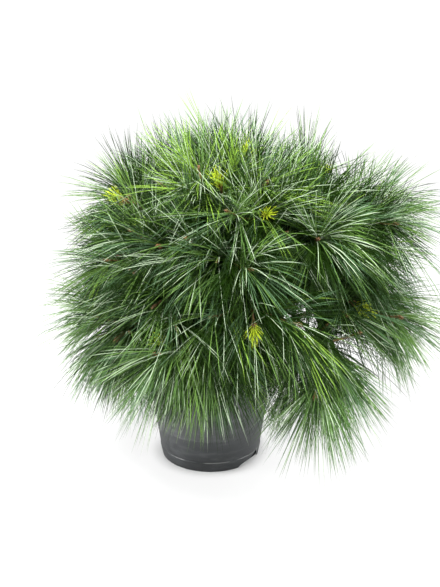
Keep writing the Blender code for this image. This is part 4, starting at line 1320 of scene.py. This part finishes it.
def shoot_needles(shoot, seed, bundles, settings, lift):
    """The needles of one shoot, and the random numbers that their tones go on with."""
    chance = np.random.default_rng(seed)
    path = curved_shoot(shoot, lift)
    zone = min(NEEDLE_ZONES[shoot.kind] / path_length(path), LONGEST_ZONE_SHARE)
    back = (np.arange(bundles) + 0.5) / bundles
    at = [path_at(path, 1.0 - zone * b) for b in back]
    root, forward = [as_array(column) for column in zip(*at)]
    around = GOLDEN_ANGLE * np.arange(bundles) + chance.uniform(0.0, TURN)
    around = around + chance.normal(0.0, NEEDLE_STRAY_AROUND, bundles)
    lean = NEEDLE_LEAN_TIP + (NEEDLE_LEAN_BACK - NEEDLE_LEAN_TIP) * back**NEEDLE_LEAN_BIAS
    tier = shoot.limb.split("_")[0]
    lean = np.radians(NEEDLE_LEANS[tier] * lean + chance.normal(0.0, NEEDLE_STRAY, bundles))
    direction, outward = leaning(forward, around, lean)
    direction[:, 2] -= NEEDLE_FALLS[tier]
    direction /= np.linalg.norm(direction, axis=1)[:, None]
    shortest, longest = NEEDLE_LENGTH_RANGE
    spread = chance.random(bundles) ** NEEDLE_LENGTH_BIAS
    length = settings.length * (shortest + (longest - shortest) * spread)
    sag = chance.uniform(*NEEDLE_SAGS[tier], bundles) * np.hypot(direction[:, 0], direction[:, 1])
    root = root + outward * (SHOOT_RADIUS * NEEDLE_ROOT)
    count = NEEDLES_IN_BUNDLE
    spin = chance.uniform(0.0, TURN, bundles)[:, None] + 2.0 * math.pi * np.arange(count) / count
    level, above = two_sides_of(direction)
    splay = level[:, None] * np.cos(spin)[..., None] + above[:, None] * np.sin(spin)[..., None]
    splay *= (SPLAY * chance.uniform(*SPLAY_RANGE, (bundles, count)))[..., None]
    lengths = length[:, None] * chance.uniform(*BUNDLE_LENGTHS, (bundles, count))
    curl = chance.normal(0.0, CURL, (bundles, count, 3))
    t = NEEDLE_PLACES[None, None, :, None]
    long = lengths[..., None, None]
    points = root[:, None, None] + long * t * direction[:, None, None]
    points = points + long * (t**SPLAY_BIAS) * splay[:, :, None] + long * (t**2) * curl[:, :, None]
    points[..., 2] -= (sag[:, None] * lengths)[..., None] * NEEDLE_PLACES**2
    return points.reshape(-1, len(NEEDLE_PLACES), 3), chance


def grow_needles(crown, settings, lift):
    """All needles by limb: points, girths and tones of each limb's own."""
    room = NeedleRoom(crown)
    numbers = {"stem": settings.on_stem, "side": settings.on_side_shoot, "twig": settings.on_twig}
    grown_by_limb = {limb.name: [] for limb in crown.limbs}
    for seed, shoot in enumerate(crown.shoots):
        bundles = round(numbers[shoot.kind] * FULLNESS.get(shoot.limb, 1.0))
        points, chance = shoot_needles(shoot, seed + settings.seed, bundles, settings, lift)
        roots, middles = points[::NEEDLES_IN_BUNDLE, 0], points[::NEEDLES_IN_BUNDLE, 2]
        outer, inner = bundle_tones(chance, middles, shoot.limb, settings)
        if shoot.kind != "twig":
            newest = "lime" if LIME_LIMBS.get(shoot.limb, 0.0) > LIME_TIPS_FROM else "fresh"
            outer[: round(NEWEST_SHARE * bundles)] = TONES.index(newest)
        dry = np.linalg.norm(roots - np.array(DEAD_SPOT), axis=1) < DEAD_SPREAD
        dry &= chance.random(bundles) < settings.dry
        outer[dry] = inner[dry] = TONES.index("dry")
        tones = np.repeat(outer, NEEDLES_IN_BUNDLE)
        paler = np.tile((False, True, False, True, False), bundles)
        tones[paler] = np.repeat(inner, NEEDLES_IN_BUNDLE)[paler]
        root = points[:, :1]
        points = root + (points - root) * room.reach(points)[:, None, None]
        kept = room.admits(points)
        kept &= np.linalg.norm(points[:, -1] - points[:, 0], axis=1) > SHORTEST_KEPT * settings.length
        withered = (tones == TONES.index("dry"))[:, None, None]
        points = np.where(withered, root + (points - root) * WITHERED_LENGTH, points)
        girths = np.tile(settings.thickness * 0.5 * NEEDLE_SWELL, (len(points), 1))
        grown_by_limb[shoot.limb].append((points[kept], girths[kept], tones[kept]))
    return grown_by_limb


def young_tufts(crown, settings):
    """Short bright needles that open at the tips of some shoots."""
    chance = np.random.default_rng(settings.seed + TUFT_SEED)
    back = np.arange(TUFT_NEEDLES) / TUFT_NEEDLES
    around = GOLDEN_ANGLE * np.arange(TUFT_NEEDLES)
    lean = np.radians(TUFT_LEAN_TIP + TUFT_LEAN_GAIN * back)
    points = []
    for shoot in crown.shoots:
        opened = shoot.kind == "stem" and shoot.limb in OPEN_BUDS
        if chance.random() > (1.0 if opened else settings.open_buds):
            continue
        tip, forward = [np.array(tuple(vector)) for vector in path_at(shoot.points, 1.0)]
        axis = np.tile(forward, (TUFT_NEEDLES, 1))
        direction = leaning(axis, around, lean)[0]
        length = settings.young_length * chance.uniform(*TUFT_LENGTH_RANGE, TUFT_NEEDLES)
        root = tip + axis * (TUFT_DEPTH * (1.0 - back))[:, None]
        t = NEEDLE_PLACES[None, :, None]
        points.append(root[:, None] + direction[:, None] * length[:, None, None] * t)
    points = np.concatenate(points)
    girths = np.tile(settings.thickness * TUFT_THICKNESS * NEEDLE_SWELL, (len(points), 1))
    return points, girths, np.full(len(points), TONES.index("young"))


# Settings


def length_setting(label, about, default):
    return bpy.props.FloatProperty(
        name=label, description=about, default=default, unit="LENGTH", precision=5
    )


def power_setting(label, about, default):
    return bpy.props.FloatProperty(name=label, description=about, default=default, unit="POWER")


def colour_setting(label, about, default):
    return bpy.props.FloatVectorProperty(
        name=label, description=about, default=default, subtype="COLOR", size=3, min=0.0, max=1.0
    )


def share_setting(label, about, default):
    return bpy.props.FloatProperty(
        name=label, description=about, default=default, subtype="FACTOR", min=0.0, max=1.0
    )


def count_setting(label, about, default):
    return bpy.props.IntProperty(name=label, description=about, default=default, min=0)


class PinePotSettings(bpy.types.PropertyGroup):
    """The nursery pot and the soil in it."""

    plastic: colour_setting("Plastic", "Colour of the pot's plastic", (0.034, 0.037, 0.0395))
    scuffs: colour_setting("Scuffs", "Colour of the dusty scuffs on the plastic", (0.062, 0.066, 0.069))
    # The colour of the painted highlight along the foot band's ledge
    ring_highlight: colour_setting("Worn Edge", "Colour of the worn ring round the foot", (0.200, 0.205, 0.200))
    grain: length_setting("Grain", "Depth of the plastic's moulded grain", 0.00012)
    soil: colour_setting("Soil", "Colour of the potting soil", (0.040, 0.027, 0.018))
    lump_height: length_setting("Lumps", "Height of the lumps in the soil's top", 0.0007)
    crumb: length_setting("Crumbs", "Radius of the largest crumbs on the soil", 0.0021)
    crumb_density: bpy.props.FloatProperty(
        name="Crumb Density", description="Crumbs on each square metre of soil", default=70000.0
    )


class PineWoodSettings(bpy.types.PropertyGroup):
    """The trunk, the boughs, the twigs and the buds."""

    bark: colour_setting("Bark", "Colour of the older bark", (0.105, 0.082, 0.060))
    young_bark: colour_setting("Young Bark", "Colour of the youngest shoots", (0.215, 0.125, 0.050))
    relief: length_setting("Relief", "Height of the trunk's bark plates", 0.0016)
    collar: share_setting("Collar", "How far a bough's root swells", 0.35)
    lift: share_setting("Lift", "How far side shoots bend up towards their buds", 0.28)
    bud: colour_setting("Bud", "Colour of the closed buds", (0.095, 0.046, 0.018))
    scale_edge: colour_setting("Scale Edges", "Colour of the papery bud scales", (0.24, 0.12, 0.045))
    pale_edge: colour_setting("Pale Edges", "Palest colour of the papery scales", (0.40, 0.24, 0.10))
    length: length_setting("Bud Length", "Length of the largest buds", 0.0115)
    scales: count_setting("Bud Scales", "Number of scales on each bud", 7)


class PineNeedleSettings(bpy.types.PropertyGroup):
    """The needles: how long, how many, and their colours."""

    length: length_setting("Length", "Length of a full-grown needle", NEEDLE_LENGTH)
    thickness: length_setting("Thickness", "Width across a needle's middle", 0.00078)
    on_stem: count_setting("On Stems", "Bundles of five on each stem", 184)
    on_side_shoot: count_setting("On Side Shoots", "Bundles of five on each side shoot", 98)
    on_twig: count_setting("On Twigs", "Bundles of five on each finer twig", 42)
    seed: count_setting("Seed", "Changes how the needles fall", 40)
    young_length: length_setting("Young Length", "Length of the needles in opening buds", 0.024)
    open_buds: share_setting("Open Buds", "Share of the other buds that have begun to open", 0.06)
    fresh: share_setting("Fresh Share", "Share of fresh green bundles", 0.20)
    blue: share_setting("Blue Share", "Share of blue-green bundles", 0.15)
    # The deep tone also serves as painted shade inside the crown, and the pale one partly as a painted
    # highlight far out
    deep: share_setting("Deep Share", "Share of deep green bundles", 0.28)
    pale: share_setting("Pale Share", "Share of bundles that show their pale inner sides", 0.56)
    dry: share_setting("Dry Share", "Share of dry bundles at the dead spot", 0.35)
    # The deep green also paints the shade inside the crown; the pale is partly the waxy inner side and
    # partly a painted highlight
    deep_colour: colour_setting("Deep", "Deep green", (0.008, 0.024, 0.001))
    green_colour: colour_setting("Green", "Main green", (0.061, 0.124, 0.030))
    blue_colour: colour_setting("Blue-green", "Blue-green", (0.062, 0.122, 0.054))
    fresh_colour: colour_setting("Fresh", "Fresh green", (0.094, 0.178, 0.036))
    pale_colour: colour_setting("Pale", "Waxy pale inner side", (0.300, 0.378, 0.255))
    lime_colour: colour_setting("Lime", "Yellow-green of this year's needles", (0.172, 0.298, 0.036))
    young_colour: colour_setting("Young", "Yellow-green of opening buds", (0.420, 0.520, 0.030))
    dry_colour: colour_setting("Dry", "Dry needles", (0.270, 0.150, 0.050))


class PineStageSettings(bpy.types.PropertyGroup):
    """The floor and the light."""

    floor: colour_setting("Floor", "Colour of the floor", (0.82, 0.82, 0.82))
    floor_glow: share_setting("Floor Glow", "How far the floor's paper is lifted to white", 0.77)
    sky: bpy.props.FloatProperty(name="Sky", description="Strength of the even light", default=0.22)
    key: power_setting("Key", "Power of the main lamp", 175.0)
    fill: power_setting("Fill", "Power of the lamp at the right", 62.0)
    side: power_setting("Side", "Power of the lamp at the left", 48.0)


# Operators


class PINE_OT_pot(bpy.types.Operator):
    """Make the nursery pot, with its foot, notches, drain holes, collar and rolled lip"""

    bl_idname = "pine.pot"
    bl_label = "Make Pot"

    def execute(self, context):
        settings = context.scene.pine_pot
        stops = shades(settings.plastic, ((0.30, 0.8), (0.52, 1.0))) + ((0.70, settings.scuffs),)
        plastic = mottled_material(
            "pot_plastic", stops, patch_scale=38.0, speck_scale=1500.0,
            roughness=(0.36, 0.56), bump=settings.grain, stretch=4.0, specks=0.5,
        )
        # A painted highlight: a pale, broken ring along the foot band's ledge
        painted_highlight_ring(plastic, HIGHLIGHT_RING_HEIGHT, HIGHLIGHT_RING_WIDTH, settings.ring_highlight)
        pot = mesh_object("nursery_pot", turned_mesh(pot_outline(), TURNING_STEPS), plastic)
        cut_away(pot, pot_cutters())
        # Near-black painted shade for the faces that the wedge cuts, where only shade falls under the pot
        shade = ((0.3, (0.003, 0.003, 0.004)), (0.7, (0.007, 0.007, 0.008)))
        painted_wedge_shade = mottled_material(
            "foot_hollow", shade, patch_scale=60.0, speck_scale=900.0, roughness=(0.9, 1.0), bump=0.0001
        )
        cut_away(pot, [wedge_cutter()], painted_wedge_shade)
        smooth_by_angle(pot, degrees=32.0)
        settle(pot, ["pot"])
        return {"FINISHED"}


class PINE_OT_soil(bpy.types.Operator):
    """Fill the pot with lumpy soil and scatter crumbs on it"""

    bl_idname = "pine.soil"
    bl_label = "Make Soil"

    def execute(self, context):
        settings = context.scene.pine_pot
        earth = mottled_material(
            "potting_soil", shades(settings.soil, ((0.34, 0.35), (0.52, 1.0), (0.74, 3.2))),
            patch_scale=300.0, speck_scale=1400.0, roughness=(0.85, 1.0), bump=0.0006, specks=0.8,
        )
        body = mesh_object("soil_fill", soil_body(settings), earth)
        # The wedge cuts the soil too, whose cut faces take the same near-black painted shade
        cut_away(body, [wedge_cutter()], bpy.data.materials["foot_hollow"])
        body.data.shade_smooth()
        bed = bmesh.new()
        bed.from_mesh(body.data)
        hidden = [
            face for face in bed.faces
            if face.normal.z <= SOIL_FACING_UP or face.calc_center_median().z <= SOIL_SEEN_ABOVE
        ]
        bmesh.ops.delete(bed, geom=hidden, context="FACES")
        source = mesh_object("soil_crumbs", bed, None)
        crumbs = grown(
            source, crumbs_tree(), density=settings.crumb_density, smallest=0.25 * settings.crumb,
            largest=settings.crumb, seed=5, material_1=earth,
        )
        settle(body, ["soil"])
        settle(crumbs)
        return {"FINISHED"}


class PINE_OT_wood(bpy.types.Operator):
    """Sweep the trunk and the boughs with bark relief"""

    bl_idname = "pine.wood"
    bl_label = "Make Trunk and Boughs"

    def execute(self, context):
        settings = context.scene.pine_wood
        bark = mottled_material(
            "bark", shades(settings.bark, ((0.36, 0.42), (0.50, 1.0), (0.66, 2.1))),
            patch_scale=140.0, speck_scale=900.0, roughness=(0.75, 0.95), bump=0.0006,
            stretch=0.35, specks=0.4,
        )
        tree = bark_tree()
        limbs = Crown().limbs[:-1]
        trunk = grown(
            paths_object("trunk_bark", *trunk_paths(steps=150)), tree,
            sides=30, relief=settings.relief, plate_size=0.0060, material_1=bark,
        )
        boughs = grown(
            paths_object("bough_bark", *bough_paths(limbs, steps=44, collar=settings.collar)), tree,
            sides=14, relief=0.45 * settings.relief, plate_size=0.0036, material_1=bark,
        )
        for piece, nodes in ((trunk, ["trunk"]), (boughs, ["bough_" + limb.name for limb in limbs])):
            smooth_by_angle(piece, degrees=60.0)
            settle(piece, nodes)
        return {"FINISHED"}


class PINE_OT_twigs(bpy.types.Operator):
    """Sweep the stems, side shoots and finer twigs, and the buds at their tips"""

    bl_idname = "pine.twigs"
    bl_label = "Make Twigs and Buds"

    def execute(self, context):
        settings = context.scene.pine_wood
        crown = Crown()
        skin = mottled_material(
            "young_bark", shades(settings.young_bark, ((0.36, 0.5), (0.50, 1.0), (0.66, 1.5))),
            patch_scale=160.0, speck_scale=1400.0, roughness=(0.55, 0.8), bump=0.0003, specks=0.4,
        )
        twigs = grown(
            paths_object("twigs", *twig_paths(crown, steps=22, lift=settings.lift)), bark_tree(),
            sides=7, relief=0.0005, plate_size=0.0016, material_1=skin,
        )
        smooth_by_angle(twigs, degrees=60.0)
        settle(twigs)
        papery = ((0.36, settings.scale_edge), (0.60, settings.pale_edge))
        body, scale, edge = [
            mottled_material(
                name, stops, patch_scale=patches, speck_scale=2500.0, roughness=roughness, bump=0.0002
            )
            for name, stops, patches, roughness in (
                ("bud_core", shades(settings.bud, ((0.36, 0.55), (0.60, 1.7))), 500.0, (0.45, 0.7)),
                ("bud_scale", shades(settings.bud, ((0.36, 1.0), (0.60, 2.4))), 600.0, (0.45, 0.7)),
                ("bud_scale_edge", papery, 700.0, (0.5, 0.8)),
            )
        ]
        buds = grown(
            paths_object("buds", *bud_paths(crown, settings)), tinted_paths_tree(3),
            sides=5, material_1=body, material_2=scale, material_3=edge,
        )
        settle(buds)
        return {"FINISHED"}


class PINE_OT_needles(bpy.types.Operator):
    """Grow the bundles of needles on every shoot, tone by tone"""

    bl_idname = "pine.needles"
    bl_label = "Make Needles"

    def execute(self, context):
        settings = context.scene.pine_needles
        lift = context.scene.pine_wood.lift
        crown = Crown()
        tones = [
            plain_material("needle_" + tone, getattr(settings, tone + "_colour"), roughness)
            for tone, roughness in TONE_ROUGHNESS.items()
        ]
        materials = {f"material_{k + 1}": tone for k, tone in enumerate(tones)}
        tree = tinted_paths_tree(len(TONES))
        by_limb = grow_needles(crown, settings, lift)
        for name, limbs in NEEDLE_PIECES.items():
            parts = [part for limb in limbs for part in by_limb[limb]]
            joined = [np.concatenate(column) for column in zip(*parts)]
            piece = grown(paths_object(name, *joined), tree, sides=3, **materials)
            settle(piece, ["needles_" + limb for limb in limbs])
        tufts = paths_object("young_needles", *young_tufts(crown, settings))
        young = grown(tufts, tree, sides=3, **materials)
        settle(young)
        return {"FINISHED"}


class PINE_OT_stage(bpy.types.Operator):
    """Lay the pale floor, set the soft light and place the camera"""

    bl_idname = "pine.stage"
    bl_label = "Set Stage"

    def execute(self, context):
        settings = context.scene.pine_stage
        scene = context.scene
        bm = bmesh.new()
        reach = FLOOR_REACH
        for x, y in ((-reach, -reach), (reach, -reach), (reach, reach), (-reach, reach)):
            bm.verts.new((x, y, 0.0))
        bm.faces.new(bm.verts)
        paper = plain_material("floor_paper", settings.floor, roughness=0.9)
        shader = paper.node_tree.nodes["Principled BSDF"]
        self.lift_for_camera(paper.node_tree, shader, settings.floor_glow, shaded=True)
        floor = mesh_object("floor", bm, paper)
        world = bpy.data.worlds.new("studio")
        world.use_nodes = True
        even = world.node_tree.nodes["Background"]
        even.inputs["Color"].default_value = (1.0, 1.0, 1.0, 1.0)
        even.inputs["Strength"].default_value = settings.sky
        self.lift_for_camera(world.node_tree, even, 1.0)
        scene.world = world
        for name, place in LAMP_PLACES.items():
            self.lamp(name + "_lamp", place, getattr(settings, name))
        scene.view_settings.view_transform = "Standard"
        scene.view_settings.look = "None"
        data = bpy.data.cameras.new("camera")
        data.sensor_width = CAMERA_SENSOR
        data.sensor_fit = "AUTO"
        data.lens = CAMERA_LENS
        camera = bpy.data.objects.new("camera", data)
        camera.location = VIEWER
        camera.rotation_euler = (math.radians(90.0 - CAMERA_DOWN), 0.0, 0.0)
        scene.collection.objects.link(camera)
        scene.camera = camera
        return {"FINISHED"}

    @staticmethod
    def lift_for_camera(tree, surface, share, shaded=False):
        """Mixes plain white light into this share of what the camera sees.

        A shaded surface gets less of it where something stands close, and more far off.
        """
        kind = "ShaderNodeEmission" if surface.type == "BSDF_PRINCIPLED" else "ShaderNodeBackground"
        glow = node(tree, kind, {"Color": (1.0, 1.0, 1.0, 1.0), "Strength": GLOW_STRENGTH})
        factor = node(tree, "ShaderNodeLightPath").outputs["Is Camera Ray"]
        if shaded:
            place = node(tree, "ShaderNodeTexCoord").outputs["Object"]
            distance = node(tree, "ShaderNodeVectorMath", {0: place}, operation="LENGTH")
            share = mapped(tree, distance.outputs["Value"], *GLOW_FADE, to_low=share)
            openness = node(tree, "ShaderNodeAmbientOcclusion", {"Distance": CONTACT_REACH})
            factor = maths(tree, "MULTIPLY", factor, mapped(tree, openness.outputs["AO"], *CONTACT_SPAN))
        factor = maths(tree, "MULTIPLY", factor, share)
        mixed = {"Fac": factor, 1: surface.outputs[0], 2: glow.outputs[0]}
        mix = node(tree, "ShaderNodeMixShader", mixed)
        result = next(n for n in tree.nodes if n.type in ("OUTPUT_MATERIAL", "OUTPUT_WORLD"))
        tree.links.new(mix.outputs[0], result.inputs["Surface"])

    @staticmethod
    def lamp(name, place, power):
        data = bpy.data.lights.new(name, "AREA")
        data.energy = power
        data.shape = "DISK"
        data.size = LAMP_SIZE
        made = bpy.data.objects.new(name, data)
        made.location = place
        made.rotation_euler = (LAMP_AIM - made.location).to_track_quat("-Z", "Y").to_euler()
        bpy.context.scene.collection.objects.link(made)


class PINE_PT_panel(bpy.types.Panel):
    """Lists the pieces of the pine in the 3D view's sidebar"""

    bl_label = "Potted White Pine"
    bl_idname = "PINE_PT_panel"
    bl_space_type = "VIEW_3D"
    bl_region_type = "UI"
    bl_category = "Pine"

    def draw(self, context):
        for name, group in SETTINGS.items():
            box = self.layout.box()
            box.label(text=group.__doc__)
            for prop in group.__annotations__:
                box.prop(getattr(context.scene, name), prop)
        for operator in OPERATORS:
            self.layout.operator(operator.bl_idname)


SETTINGS = {
    "pine_pot": PinePotSettings,
    "pine_wood": PineWoodSettings,
    "pine_needles": PineNeedleSettings,
    "pine_stage": PineStageSettings,
}
OPERATORS = (PINE_OT_pot, PINE_OT_soil, PINE_OT_wood, PINE_OT_twigs, PINE_OT_needles, PINE_OT_stage)


def register():
    for made in (*SETTINGS.values(), *OPERATORS, PINE_PT_panel):
        bpy.utils.register_class(made)
    for name, group in SETTINGS.items():
        setattr(bpy.types.Scene, name, bpy.props.PointerProperty(type=group))


def unregister():
    for name in SETTINGS:
        delattr(bpy.types.Scene, name)
    for made in reversed((*SETTINGS.values(), *OPERATORS, PINE_PT_panel)):
        bpy.utils.unregister_class(made)


def main():
    register()
    bpy.ops.pine.pot()
    bpy.ops.pine.soil()
    bpy.ops.pine.wood()
    bpy.ops.pine.twigs()
    bpy.ops.pine.needles()
    bpy.ops.pine.stage()


if __name__ == "__main__":
    main()
